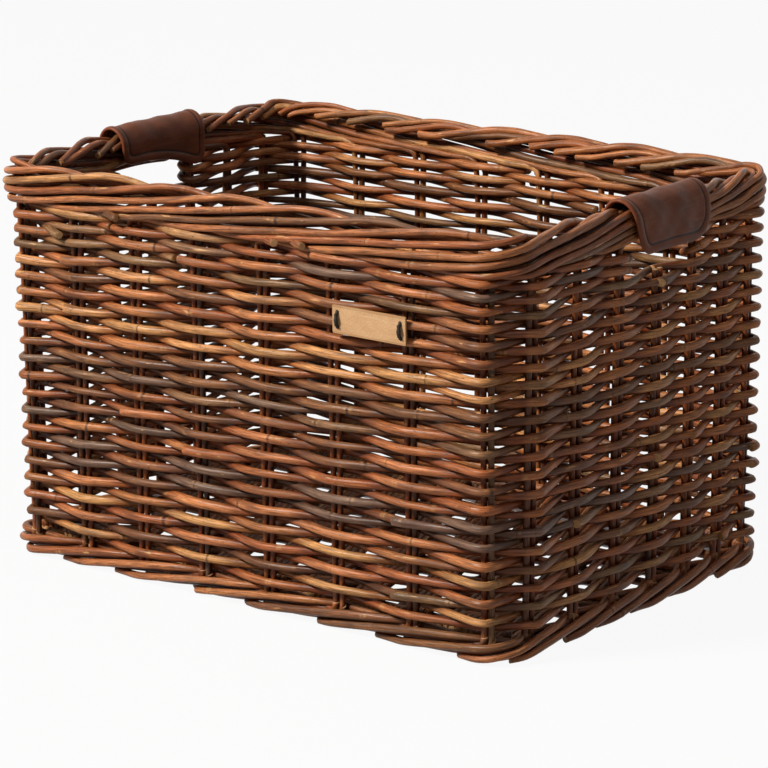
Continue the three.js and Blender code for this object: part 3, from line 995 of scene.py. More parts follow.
@dataclass
class StakePairs:
    """Upright rods in pairs, whose tops roll into the top border and whose butts roll into the foot.

    Girths are the least and the greatest share of a rod's radius, and ends are how far past its lane a strand runs.
    The stubs are butts cut off in front of the front wall: pair, distance along the wall and height. The way out is
    how far back along the wall, how far outwards and how far above its end a stub passes.
    """

    plan: Plan
    finish: bpy.types.Material
    stake_radius: float = 2.15
    stake_girths: tuple[float, float] = (0.95, 1.06)
    stake_points: int = 10
    stray_along: float = 0.5
    stray_out: float = 0.35
    pair_half: float = 2.85
    bend_along: float = 1.6
    bend_below: float = 2.0
    border_radius: float = 2.6
    border_girths: tuple[float, float] = (0.8, 1.08)
    border_ends: tuple[float, float] = (-0.25, 0.2)
    spring: float = 1.45
    squeeze: float = 0.58
    pressed_within: float = 1.35
    pressed_fade: float = 0.6
    pressed_below: float = -4.0
    foot_radius: float = 2.65
    foot_girths: tuple[float, float] = (0.92, 1.08)
    foot_ends: tuple[float, float] = (-0.3, 0.15)
    foot_spring: float = 0.5
    foot_entry: tuple[float, float] = (6.0, 2.0)
    off_floor: float = 1.06
    last_row: float = 254.0
    lean_run: float = 40.0
    sill: float = 236.0
    stub_radius: float = 2.75
    stubs: tuple[tuple[int, float, float], ...] = (
        (1, 59.8, 241.5), (2, 114.4, 260.5), (5, 256.0, 262.0), (6, 280.0, 263.0),
    )
    way_out: tuple[tuple[float, float, float], ...] = (
        (-30.0, -4.0, 2.5), (-18.0, 1.5, 1.5), (-8.0, 7.0, 0.4), (0.0, 10.2, 0.0),
    )
    # A little darker than the weavers: painted shade, as the stakes stand behind the weave.
    mix: HueMix = HueMix(
        chestnut=0.37, russet=0.34, honey=0.06, umber=0.17, ash=0.04, drift=0.02, light=(0.7, 1.04)
    )

    def build(self) -> None:
        """Makes every stake pair."""
        for index, station in enumerate(self.plan.stations):
            bundle = RodBundle(f"stakes_{station.wall}_{station.number}", SEED + index, self.plan)
            for side, lane, foot_lane in ((-1, OVER_CROWN, UNDER_FOOT), (1, BEHIND_CROWN, BEHIND_FOOT)):
                self._add_upright(bundle, index, side, lane)
                if station.under_grip:
                    self._add_inlay(bundle, index, lane)
                self._add_foot(bundle, index, side, foot_lane)
            for number, distance, height in self.stubs:
                if (station.wall, station.number) == ("front", number):
                    self._add_stub(bundle, distance, height)
            bundle.make(self.finish, [station.node], "stake_rods")

    def _strand(self, rng: np.random.Generator, index: int, lane: Lane, start: float) -> Array:
        """The run of a rod through the top border.

        Args:
            rng: The source of chance.
            index: The station's number.
            lane: The rod's way through the border.
            start: Where the run starts, in stations passed.

        Returns:
            Points along the run.
        """
        end, turns = lane.run(start, rng.uniform(*self.border_ends))
        out, up = lane.place(turns)
        drift = sway(rng, turns, self.spring) * np.clip(turns, 0, 1)
        # Under a grip the lowest strands are pressed up, so the hand hole stays open.
        near = self.pressed_within - self._from_hand_hole(index + turns)
        pressed = np.clip(near / self.pressed_fade, 0, 1)
        up = up + self.squeeze * pressed * np.maximum(self.pressed_below - up, 0)
        tip = np.clip((turns - end + 0.5) / 0.5, 0, 1) * (lane.stops[-1][1] - lane.place(np.array([end]))[0])
        height = self.plan.border_middle + up + drift[1]
        return self.plan.place(self.plan.along(index + turns), out + drift[0] + tip, height)

    def _from_hand_hole(self, position: Array) -> Array:
        """How far away the middle of the nearest hand hole is.

        Args:
            position: Station numbers with fractions.

        Returns:
            Distances counted in stations.
        """
        middles = [k for k, s in enumerate(self.plan.stations) if s.under_grip]
        half = self.plan.count / 2
        return np.min([np.abs((position - m + half) % self.plan.count - half) for m in middles], axis=0)

    def _add_upright(self, bundle: RodBundle, index: int, side: int, lane: Lane) -> None:
        """Adds one rod of a pair, up the wall and, unless a hand hole is above, on into the top border.

        Args:
            bundle: The pair's rods.
            index: The station's number.
            side: -1 for the rod that comes first anticlockwise, 1 for the other.
            lane: The rod's way through the border.
        """
        plan, rng = self.plan, bundle.rng
        tint = self.mix.pick(rng)
        cut_short = plan.stations[index].under_grip
        base = plan.mark(index)
        foot, head = side * self.pair_half + rng.uniform(-self.stray_along, self.stray_along, 2)
        high = self.sill if cut_short else self.last_row
        heights = np.linspace(plan.foot_middle + 3.0, high, self.stake_points)
        start = lane.stops[0]
        # Near its top the rod leans out towards the place where it enters the border.
        lean = np.clip((heights - high + self.lean_run) / self.lean_run, 0, 1) ** 1.5
        spread = (0.0 if cut_short else start[1]) * lean
        offset = rng.uniform(-self.stray_out, self.stray_out, self.stake_points) + spread
        points = plan.place(base + np.linspace(foot, head, self.stake_points), offset, heights)
        if not cut_short:
            turned = (base + head + self.bend_along, start[1], plan.border_middle + start[2] - self.bend_below)
            bend = plan.place(*(np.array([v]) for v in turned))
            points = np.vstack([points, bend, self._strand(rng, index, lane, start[0])])
        radius = self.stake_radius * rng.uniform(*self.stake_girths)
        swell = (high, self.border_radius * rng.uniform(*self.border_girths) / radius)
        bundle.add(Rod(smooth_path(points), radius, tint, swell=swell))

    def _add_inlay(self, bundle: RodBundle, index: int, lane: Lane) -> None:
        """Adds a rod laid into the border over a hand hole, where the stakes below end at its sill.

        Args:
            bundle: The pair's rods.
            index: The station's number.
            lane: The rod's way through the border.
        """
        points = self._strand(bundle.rng, index, lane, lane.first)
        # It starts a little before its station, higher and nearer the middle than the lane.
        out, up = lane.place(np.array([0.5, 0.5]))
        along = self.plan.along(index + np.array([-0.3, -0.05]))
        start = self.plan.place(along, out * 0.3 - 1.0, self.plan.border_middle + up + (4.0, 1.5))
        path = smooth_path(np.vstack([start, points]))
        bundle.add(Rod(path, self.border_radius, self.mix.pick(bundle.rng)))

    def _add_stub(self, bundle: RodBundle, distance: float, height: float) -> None:
        """Adds the butt of a rod that the maker cut off in front of the wall.

        Args:
            bundle: The pair's rods.
            distance: Where it ends along the stake line.
            height: Its height there.
        """
        tint = self.mix.pick(bundle.rng)
        along, out, up = np.array(self.way_out).T
        path = self.plan.place(distance + along, out, height + up)
        bundle.add(Rod(smooth_path(path), self.stub_radius, tint, knuckles=False))

    def _add_foot(self, bundle: RodBundle, index: int, side: int, lane: Lane) -> None:
        """Adds a strand that a butt makes in the foot border, clockwise.

        Args:
            bundle: The pair's rods.
            index: The station's number.
            side: -1 for the rod that comes first anticlockwise, 1 for the other.
            lane: The rod's way through the foot.
        """
        plan, rng = self.plan, bundle.rng
        tint = self.mix.pick(rng)
        _, turns = lane.run(lane.first, rng.uniform(*self.foot_ends))
        out, up = lane.place(turns)
        radius = self.foot_radius * rng.uniform(*self.foot_girths)
        drift = sway(rng, turns, self.foot_spring) * np.clip(turns, 0, 1)
        # No rod sinks into the floor.
        heights = np.maximum(plan.foot_middle + up + drift[0], radius * self.off_floor)
        strand = plan.place(plan.along(index - turns), out + drift[1], heights)
        base = plan.mark(index) + side * self.pair_half
        start = lane.stops[0]
        heights = plan.foot_middle + start[2] + np.array(self.foot_entry)
        top = plan.place(np.array([base, base - 1.0]), np.array([0.0, start[1]]), heights)
        bundle.add(Rod(smooth_path(np.vstack([top, strand])), radius, tint))


@dataclass(frozen=True)
class Weaver:
    """One of the two weavers that chase each other round the walls. Places are counted in stations.

    It climbs to its end, beside a hand hole, and goes on to and fro along one long wall, as far as its turn. The
    lag is how far it starts behind the other, and the parity is 0 if it is outside at even stations, else 1.
    """

    letter: str
    wall: str
    end: int
    turn: int
    parity: int
    lag: int


@dataclass
class Weave:
    """Rods worked round the walls: each passes outside one stake pair and inside the next.

    Girths are the least and the greatest share of a rod's radius, and the taper is what it loses over its length.
    """

    plan: Plan
    finish: bpy.types.Material
    rod_radius: float = 2.95
    girths: tuple[float, float] = (0.86, 1.08)
    taper: float = 0.14
    upper_girths: tuple[float, float] = (0.88, 1.08)
    upper_taper: float = 0.1
    upper_gap: tuple[float, float] = (0.35, 0.65)
    reach: float = 5.2
    corner_reach: float = 7.8
    hold: float = 2.2
    crispness: float = 0.35
    corner_hold: float = 0.6
    corner_crispness: float = 0.9
    ripple: float = 0.42
    ripples: tuple[int, ...] = (4, 7, 11, 17)
    ripple_reach: tuple[float, float] = (18.0, 40.0)
    even_within: float = 15.0
    row_drift: float = 3.6
    chamfer: float = 0.85
    first_row: float = 20.65
    last_row: float = 256.15
    sill_row: float = 233.45
    row_pitch: float = 6.097
    rounds: int = 17
    lengths: int = 6
    rod_stations: tuple[int, int] = (8, 17)
    step: float = 2.2
    lap: float = 3.6
    lap_run: float = 0.45
    lap_ends: tuple[float, float] = (0.1, 0.16)
    end_gap: float = 0.03
    turn_reach: float = 4.6
    mix: HueMix = HueMix()
    grey_mix: HueMix = HueMix(chestnut=0.32, russet=0.24, honey=0.08, umber=0.16, ash=0.13, drift=0.07)

    def __post_init__(self) -> None:
        """Lays out the two chasing weavers, which end beside the hand holes, and how steeply they climb."""
        numbers = {(s.wall, s.number): k for k, s in enumerate(self.plan.stations)}
        right, left = numbers["right", 4], numbers["left", 4]
        end_a, end_b = (middle + self.plan.count * self.rounds for middle in (right, left))
        self.weavers = (
            Weaver("a", "back", end_a, end_a + left - right - 1, 0, 0),
            Weaver("b", "front", end_b, end_b + self.plan.count + right - left - 1, 1, end_b - end_a),
        )
        self.climb = (self.sill_row - self.first_row) / end_a
        walls = [s.wall for s in self.plan.stations]
        beside = zip(walls[-1:] + walls[:-1], walls, walls[1:] + walls[:1])
        self.by_corner = np.array([before != wall or wall != after for before, wall, after in beside])
        rng = np.random.default_rng(SEED + 500)
        self.waves = [(n, rng.uniform(0, 2 * math.pi), rng.uniform(*self.ripple_reach)) for n in self.ripples]

    def unevenness(self, distance: Array, height: Array) -> Array:
        """How much the rows ride up or down at a place, as hand work does: rows close together move alike.

        Args:
            distance: Distances along the stake line.
            height: Heights above the floor.

        Returns:
            Shifts upwards in millimetres.
        """
        turn = 2 * math.pi / self.plan.ring_length
        shift = sum(np.sin(n * turn * distance + phase + height / reach) for n, phase, reach in self.waves)
        # Towards the border and the foot the rows lie even.
        above, below = (height - self.first_row) / self.even_within, (self.last_row - height) / self.even_within
        edge = np.clip(above, 0, 1) * np.clip(below, 0, 1)
        share = (height - self.first_row) / (self.last_row - self.first_row)
        settled = np.sin(math.pi * np.clip(share, 0, 1))
        return self.ripple * shift * edge + self.row_drift * settled

    def cut_corners(self, path: Array, position: Array) -> Array:
        """Pulls a weaver straight where it crosses a corner, so that it kinks at the pairs beside the corner.

        Args:
            path: Points of the weaver.
            position: Their station numbers with fractions.

        Returns:
            The points with the corners cut.
        """
        stations = self.plan.stations
        whole = np.floor(position).astype(int)
        cut = path.copy()
        for gap in np.unique(whole):
            here, after = stations[gap % self.plan.count], stations[(gap + 1) % self.plan.count]
            inside = np.flatnonzero(whole == gap)
            if here.wall == after.wall or len(inside) < 6:
                continue
            part = (position[inside] - gap)[:, None]
            first, last = path[inside[0]], path[min(inside[-1] + 1, len(path) - 1)]
            straight = first + (last - first) * part
            cut[inside, :2] += self.chamfer * (straight - path[inside])[:, :2]
        return cut

    def offset(self, position: Array, parity: int) -> Array:
        """How far outwards a weaver runs.

        Args:
            position: Station numbers with fractions.
            parity: 0 for the weaver that is outside at even stations, 1 for the other.

        Returns:
            Offsets from the middle of the stakes.
        """
        position = np.asarray(position, float)
        whole = np.floor(position).astype(int)
        gap = self.plan.along(whole + 1) - self.plan.along(whole)
        walked = (position - whole) * gap
        kinked = self.by_corner[whole % self.plan.count] | self.by_corner[(whole + 1) % self.plan.count]
        hold = np.where(kinked, self.corner_hold, self.hold)
        crispness = np.where(kinked, self.corner_crispness, self.crispness)
        part = np.clip((walked - hold) / (gap - 2 * hold), 0, 1)
        wave = (1 - crispness) * np.cos(math.pi * part) + crispness * (1 - 2 * part)
        here, after = self._reach_at(whole, parity), self._reach_at(whole + 1, parity)
        return here + (after - here) * (1 - wave) / 2

    def _reach_at(self, station: Array, parity: int) -> Array:
        """How far outwards a weaver passes stations, further where it kinks round pairs beside a corner."""
        outside = np.where(self.by_corner[station % self.plan.count], self.corner_reach, self.reach)
        return np.where(station % 2 == parity, outside, -self.reach)

    def level(self, weaver: Weaver, position: Array, share: float) -> Array:
        """Heights of a weaver.

        Args:
            weaver: The weaver.
            position: Station numbers with fractions.
            share: How far its even climb is levelled out towards the row under the border, from 0 to 1.

        Returns:
            Heights above the floor.
        """
        row = self.first_row + self.climb * (position - weaver.lag)
        return row + (self.last_row - row) * share

    def run(self, weaver: Weaver, start: float, end: float, parity: int, share: float, laps: bool = False) -> Array:
        """The centre line of a stretch of weaver.

        Args:
            weaver: The weaver.
            start: The station where the stretch starts.
            end: The station where it ends.
            parity: The stretch's own parity.
            share: How far it is levelled out.
            laps: Whether its start lies over the end of the rod before it.

        Returns:
            Points about as far apart as the step says.
        """
        length = abs(float(np.diff(self.plan.along(np.array([start, end])))[0]))
        position = np.linspace(start, end, max(int(length / self.step), 4))
        distance = self.plan.along(position)
        offset = self.offset(position, parity)
        if laps:
            offset = offset + self.lap * np.clip(1 - (position - start) / self.lap_run, 0, 1) ** 1.5
        level = self.level(weaver, position, share)
        path = self.plan.place(distance, offset, level + self.unevenness(distance, level))
        return self.cut_corners(path, position)

    def build(self) -> None:
        """Makes the wall weavers, then the weavers between the hand holes."""
        for weaver in self.weavers:
            self._climb(weaver)
        for weaver in self.weavers:
            self._to_and_fro(weaver)

    def _climb(self, weaver: Weaver) -> None:
        """Makes one of the two chasing weavers, in lengths of several rods, every second of them greyer.

        Args:
            weaver: The weaver.
        """
        start = weaver.lag + (weaver.end - weaver.lag) % 2
        half = (weaver.end - start) / 2
        for k in range(self.lengths):
            low, high = (start + 2 * round(half * n / self.lengths) for n in (k, k + 1))
            name = f"{weaver.letter}{k + 1}"
            bundle = RodBundle(f"weaver_{name}", SEED + 900 + 50 * weaver.parity + k, self.plan)
            rng = bundle.rng
            mix, slot = (self.mix, "weaver_rods") if k % 2 == 0 else (self.grey_mix, "grey_weaver_rods")
            at, stop, laps = low + self.end_gap, low, False
            while stop < high:
                stop = math.floor(at + 0.5) + int(rng.integers(*self.rod_stations))
                if stop > high - self.rod_stations[0]:
                    stop = high
                # A rod that ends outside is lapped by the next one, and one that ends inside meets it end to end.
                lapped = stop < high and stop % 2 == weaver.parity
                last = stop + self.lap_ends[0] if lapped else stop - self.end_gap
                path = self.run(weaver, at, last, weaver.parity, 0.0, laps)
                radius = self.rod_radius * rng.uniform(*self.girths)
                bundle.add(Rod(path, radius, mix.pick(rng), taper=self.taper))
                at, laps = stop - self.lap_ends[1] if lapped else stop + self.end_gap, lapped
            bundle.make(self.finish, [f"wall_weaver_{name}"], slot)

    def _to_and_fro(self, weaver: Weaver) -> None:
        """Makes a weaver's rods above the sills of the hand holes, beside which it turns back.

        Args:
            weaver: The weaver.
        """
        bundle = RodBundle(f"upper_weaver_rods_{weaver.wall}", SEED + 700 + weaver.parity, self.plan)
        rng = bundle.rng
        rows = (self.last_row - float(self.level(weaver, weaver.end, 0.0))) / self.row_pitch
        turns = round(rows)
        for number in range(turns + 1):
            forward = number % 2 == 0
            parity = weaver.parity if forward else 1 - weaver.parity
            first = weaver.end + (self.end_gap if number == 0 else 1)
            path = self.run(weaver, first, weaver.turn, parity, number / turns)
            path = path if forward else path[::-1]
            if number < turns:
                index = weaver.turn if forward else weaver.end + 1
                low = float(self.level(weaver, index, number / turns))
                rise = (self.last_row - low) / (turns - number)
                path = np.vstack([path, self._turn(index, parity, forward, low, rise)])
            # Each pass is two rods, with a small gap between them.
            cut = int(len(path) * rng.uniform(*self.upper_gap))
            for piece in (path[:cut], path[cut + 1 :]):
                radius = self.rod_radius * rng.uniform(*self.upper_girths)
                bundle.add(Rod(piece, radius, self.mix.pick(rng), taper=self.upper_taper))
        bundle.make(self.finish, [f"upper_weaver_{weaver.wall}"], "weaver_rods")

    def _turn(self, index: int, parity: int, forward: bool, low: float, rise: float) -> Array:
        """The bend of a weaver round the last stake pair beside a hand hole.

        Args:
            index: The station of that pair.
            parity: The weaver's parity on the way there.
            forward: Whether it arrives anticlockwise.
            low: The height at which it arrives.
            rise: How much higher it goes back.

        Returns:
            The points of the bend.
        """
        sign = 1.0 if index % 2 == parity else -1.0
        angle = np.linspace(0.08, 1, 12) * math.pi
        ahead = (1 if forward else -1) * (self.turn_reach + self.rod_radius) * np.sin(angle)
        distance = self.plan.mark(index) + ahead
        return self.plan.place(distance, sign * self.reach * np.cos(angle), low + rise * angle / math.pi)


@dataclass
class Base:
    """The base: rods darkened as painted shade, worked to and fro, four together, over and under long sticks."""

    plan: Plan
    finish: bpy.types.Material
    stick_radius: float = 3.0
    rod_radius: float = 2.5
    rods_together: int = 4
    sticks: int = 7
    overhang: float = 5.0
    uneven_ends: float = 1.0
    clearance: float = 0.3
    end_bend: float = 3.0
    end_swing: float = 0.2
    girths: tuple[float, float] = (0.97, 1.08)
    # Darker than the walls' rods: painted shade for the basket's shaded inside.
    mix: HueMix = HueMix(
        chestnut=0.2, russet=0.3, honey=0.02, umber=0.4, ash=0.05, drift=0.03, light=(0.5, 0.9)
    )

    def build(self) -> None:
        """Makes the sticks and the rods across them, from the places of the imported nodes."""
        sticks = []
        for k in range(1, self.sticks + 1):
            name = f"base_stick_{k}"
            ends = self._stick_ends(name)
            sticks.append(ends)
            bundle = RodBundle(f"base_stick_rod_{k}", SEED + 300 + k, self.plan)
            longer = np.array([self.overhang, 0.0, 0.0])
            path = np.linspace(ends[0] - longer, ends[1] + longer, 40)
            bundle.add(Rod(path, self.stick_radius, self.mix.pick(bundle.rng)))
            bundle.make(self.finish, [name], "base_rods")
        self._weave(sticks)

    @staticmethod
    def _stick_ends(name: str) -> tuple[Array, Array]:
        """The ends of a packed stick.

        Args:
            name: The stick's node.

        Returns:
            The middle of its left end and of its right end.
        """
        verts = np.array([v.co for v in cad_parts[name].data.vertices]) / MM
        left = verts[verts[:, 0] < 0].mean(axis=0)
        right = verts[verts[:, 0] > 0].mean(axis=0)
        return left, right

    def _weave(self, sticks: list[tuple[Array, Array]]) -> None:
        """Makes the rods that go over and under the sticks.

        Args:
            sticks: The ends of each stick, from front to back.
        """
        low, high = (np.array(c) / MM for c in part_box("base_weaver"))
        middle = (low[2] + high[2]) / 2
        bundle = RodBundle("base_rods", SEED + 400, self.plan)
        rng = bundle.rng
        start, end = low[0] - self.overhang, high[0] + self.overhang
        columns = int((end - start) / (2 * self.rod_radius * self.rods_together))
        spacing = (end - start) / columns / self.rods_together
        swing = self.stick_radius + self.rod_radius + self.clearance
        for number in range(columns * self.rods_together):
            sense = 1 if (number // self.rods_together) % 2 == 0 else -1
            x = start + (number + 0.5) * spacing
            ys = [self._stick_at(ends, x) for ends in sticks]
            front = low[1] - self.overhang + rng.uniform(-self.uneven_ends, self.uneven_ends)
            back = high[1] + self.overhang + rng.uniform(-self.uneven_ends, self.uneven_ends)
            points = [(x, front, middle), (x, low[1] + self.end_bend, middle - sense * swing * self.end_swing)]
            points += [(x, y, middle + (sense if k % 2 == 0 else -sense) * swing) for k, y in enumerate(ys)]
            last = sense if (len(ys) - 1) % 2 == 0 else -sense
            points += [(x, high[1] - self.end_bend, middle - last * swing * self.end_swing), (x, back, middle)]
            path = smooth_path(np.array(points))
            bundle.add(Rod(path, spacing / 2 * rng.uniform(*self.girths), self.mix.pick(rng)))
        bundle.make(self.finish, ["base_weaver"], "base_rods")

    @staticmethod
    def _stick_at(ends: tuple[Array, Array], x: float) -> float:
        """Where a stick crosses a column."""
        left, right = ends
        return float(np.interp(x, [left[0], right[0]], [left[1], right[1]]))


@dataclass(frozen=True)
class Flap:
    """One side of a grip: its ends along the wall at the crown and at the bottom, and its bottom edge."""

    crown: tuple[float, float]
    bottom: tuple[float, float]
    levels: tuple[float, float]
    hollow: float
    corners: tuple[float, float]


@dataclass
class Grip:
    """A thick leather cover that is folded over the border and sewn along its rim.

    Each set of soft folds has a height, a slant and a wavelength. The sewn rim is plump outside the seam's groove.
    """

    side: str
    plan: Plan
    finish: bpy.types.Material
    wall: int
    outer: Flap
    inner: Flap
    thickness: float = 2.3
    clearance: float = 10.5
    spring: float = 276.5
    rise: float = 13.5
    lowest: float = 200.0
    seam_inset: float = SEAM_INSET
    groove_deep: float = 0.6
    groove_wide: float = 0.7
    plump: float = 0.5
    plump_inset: float = 3.2
    plump_wide: float = 2.2
    folds: tuple[tuple[float, float, float], ...] = ((0.30, 0.35, 31.0), (0.12, -0.7, 19.0), (0.05, 0.9, 11.0))
    strand_relief: float = 0.16
    strand_slant: float = 3.2
    strand_apart: float = 56.0
    edge_round: float = 1.5
    across: int = 64
    around: int = 84

    def _profile(self) -> tuple[Array, Array, Array]:
        """The middle of the leather across the border.

        Returns:
            Places outwards and up, and the run along them.
        """
        reach = self.clearance + self.thickness / 2
        angle = np.linspace(0, math.pi, 60)
        out = np.concatenate([[reach, reach], reach * np.cos(angle[1:-1]), [-reach, -reach]])
        over = self.spring + self.rise * np.sin(angle[1:-1])
        up = np.concatenate([[self.lowest, self.spring], over, [self.spring, self.lowest]])
        run = np.concatenate([[0], np.cumsum(np.hypot(np.diff(out), np.diff(up)))])
        return out, up, run

    def _sheet(self) -> tuple[Array, Array]:
        """The grid of the flat hide.

        Returns:
            For each grid point the run across the border and the place along the wall.
        """
        _, _, run = self._profile()
        # The grid is finer towards the rim, where the edge is rounded.
        fine = 0.5 - 0.5 * np.cos(np.linspace(0, math.pi, self.across + 1))
        share = 0.6 * fine + 0.4 * np.linspace(0, 1, self.across + 1)
        ends = []
        for flap, base in ((self.outer, 0.0), (self.inner, run[-1])):
            low, high = flap.bottom
            along = low + (high - low) * share
            level = flap.levels[0] + (flap.levels[1] - flap.levels[0]) * share
            level = level + flap.hollow * np.sin(math.pi * share) ** 1.3
            for corner, gone in ((flap.corners[0], along - low), (flap.corners[1], high - along)):
                short = np.clip((corner - gone) / corner, 0, 1)
                level = level + corner * (1 - np.sqrt(1 - 0.998 * short**2))
            ends.append(np.abs(base - (level - self.lowest)))
        mixed = 0.5 - 0.5 * np.cos(np.linspace(0, math.pi, self.around + 1))
        down = (0.5 * mixed + 0.5 * np.linspace(0, 1, self.around + 1))[:, None]
        across_run = ends[0] + (ends[1] - ends[0]) * down
        drop = np.clip(np.abs(across_run / run[-1] - 0.5) / 0.36, 0, 1) ** 1.4
        flap_low = np.where(down < 0.5, self.outer.bottom[0], self.inner.bottom[0])
        flap_high = np.where(down < 0.5, self.outer.bottom[1], self.inner.bottom[1])
        low = self.outer.crown[0] + (flap_low - self.outer.crown[0]) * drop
        high = self.outer.crown[1] + (flap_high - self.outer.crown[1]) * drop
        return across_run, low + (high - low) * share

    def _rim(self, run: Array, along: Array) -> Array:
        """Measures the flat hide.

        Args:
            run: The run of each grid point across the border.
            along: Its place along the wall.

        Returns:
            How far each grid point is from the cut edge.
        """
        edge = np.concatenate([
            np.column_stack([run[0], along[0]]),
            np.column_stack([run[:, -1], along[:, -1]]),
            np.column_stack([run[-1, ::-1], along[-1, ::-1]]),
            np.column_stack([run[::-1, 0], along[::-1, 0]]),
        ])
        edge = edge[np.concatenate([[True], np.linalg.norm(np.diff(edge, axis=0), axis=1) > 1e-6])]
        start, step = edge, np.roll(edge, -1, 0) - edge
        points = np.column_stack([run.ravel(), along.ravel()])
        best = np.full(len(points), np.inf)
        for a, d in zip(start, step):
            length = max(float(d.dot(d)), 1e-12)
            share = np.clip((points - a).dot(d) / length, 0, 1)
            best = np.minimum(best, np.linalg.norm(points - a - share[:, None] * d, axis=1))
        return best.reshape(run.shape)

    def build(self) -> None:
        """Makes the cover as one closed skin."""
        rng = np.random.default_rng(SEED + 40 + self.wall)
        out, up, base_run = self._profile()
        run, along = self._sheet()
        rim = self._rim(run, along)
        round_off = np.sqrt(np.clip(1 - (1 - np.clip(rim / self.edge_round, 0, 1)) ** 2, 0, 1))
        folds = sum(
            amount * np.sin(2 * math.pi * (along + lean * run) / wide + rng.uniform(0, 6.3))
            for amount, lean, wide in self.folds
        )
        puff = self.plump * np.exp(-(((rim - self.plump_inset) / self.plump_wide) ** 2))
        puff = puff - self.groove_deep * np.exp(-(((rim - self.seam_inset) / self.groove_wide) ** 2))
        calm = np.clip((rim - 2) / 6, 0, 1)
        # Under the crown the strands press through the leather a little.
        strands = self.strand_relief * np.sin(2 * math.pi * (along + self.strand_slant * run) / self.strand_apart)
        strands = strands * np.clip(rim / 10, 0, 1)
        verts, rims, sheet = [], [], []
        for side in (1.0, -1.0):
            lift = side * self.thickness / 2 * round_off + (folds * calm + strands)
            lift = lift + (puff * round_off if side > 0 else 0.0)
            middle_out = np.interp(run, base_run, out)
            middle_up = np.interp(run, base_run, up)
            tilt_out = np.interp(run + 0.5, base_run, out) - np.interp(run - 0.5, base_run, out)
            tilt_up = np.interp(run + 0.5, base_run, up) - np.interp(run - 0.5, base_run, up)
            size = np.hypot(tilt_out, tilt_up)
            offset = middle_out + lift * tilt_up / size
            height = middle_up - lift * tilt_out / size
            lean = self.plan.lean * (height / self.plan.crown - 1)
            x = self.wall * (self.plan.half[0] + offset + lean)
            verts.append(np.stack([x, along + self.plan.centre_y, height], axis=-1).reshape(-1, 3))
            rims.append(rim.ravel())
            sheet.append(np.stack([along, run, np.full_like(run, side * 4.0)], axis=-1).reshape(-1, 3))
        self._mesh(np.concatenate(verts), np.concatenate(rims), np.concatenate(sheet), run.shape)

    def _mesh(self, verts: Array, rims: Array, sheet: Array, shape: tuple[int, int]) -> None:
        """Joins both faces of the hide along the rim, where they meet.

        Args:
            verts: The points of the outer face, then those of the inner one.
            rims: The distance of each from the cut edge.
            sheet: The place of each on the flat hide.
            shape: Rows and columns of the grid.
        """
        rows, columns = shape
        top = np.arange(rows * columns).reshape(shape)
        low = top + rows * columns
        edge = np.zeros(shape, bool)
        edge[[0, -1], :] = edge[:, [0, -1]] = True
        low[edge] = top[edge]
        outer, inner = (
            np.stack([g[:-1, :-1], g[:-1, 1:], g[1:, 1:], g[1:, :-1]], axis=-1).reshape(-1, 4)
            for g in (top, low)
        )
        faces = np.concatenate([outer, inner[:, ::-1]])
        if self.wall < 0:
            faces = faces[:, ::-1]
        used, where = np.unique(faces, return_inverse=True)
        mesh = bpy.data.meshes.new(f"grip_cover_{self.side}")
        mesh.from_pydata((verts[used] * MM).tolist(), [], where.reshape(-1, 4).tolist())
        mesh.polygons.foreach_set("use_smooth", [True] * len(mesh.polygons))
        layers = {"rim": rims[used], "sheet": sheet[used]}
        seat(mesh, self.finish, layers, [f"grip_{self.side}"])


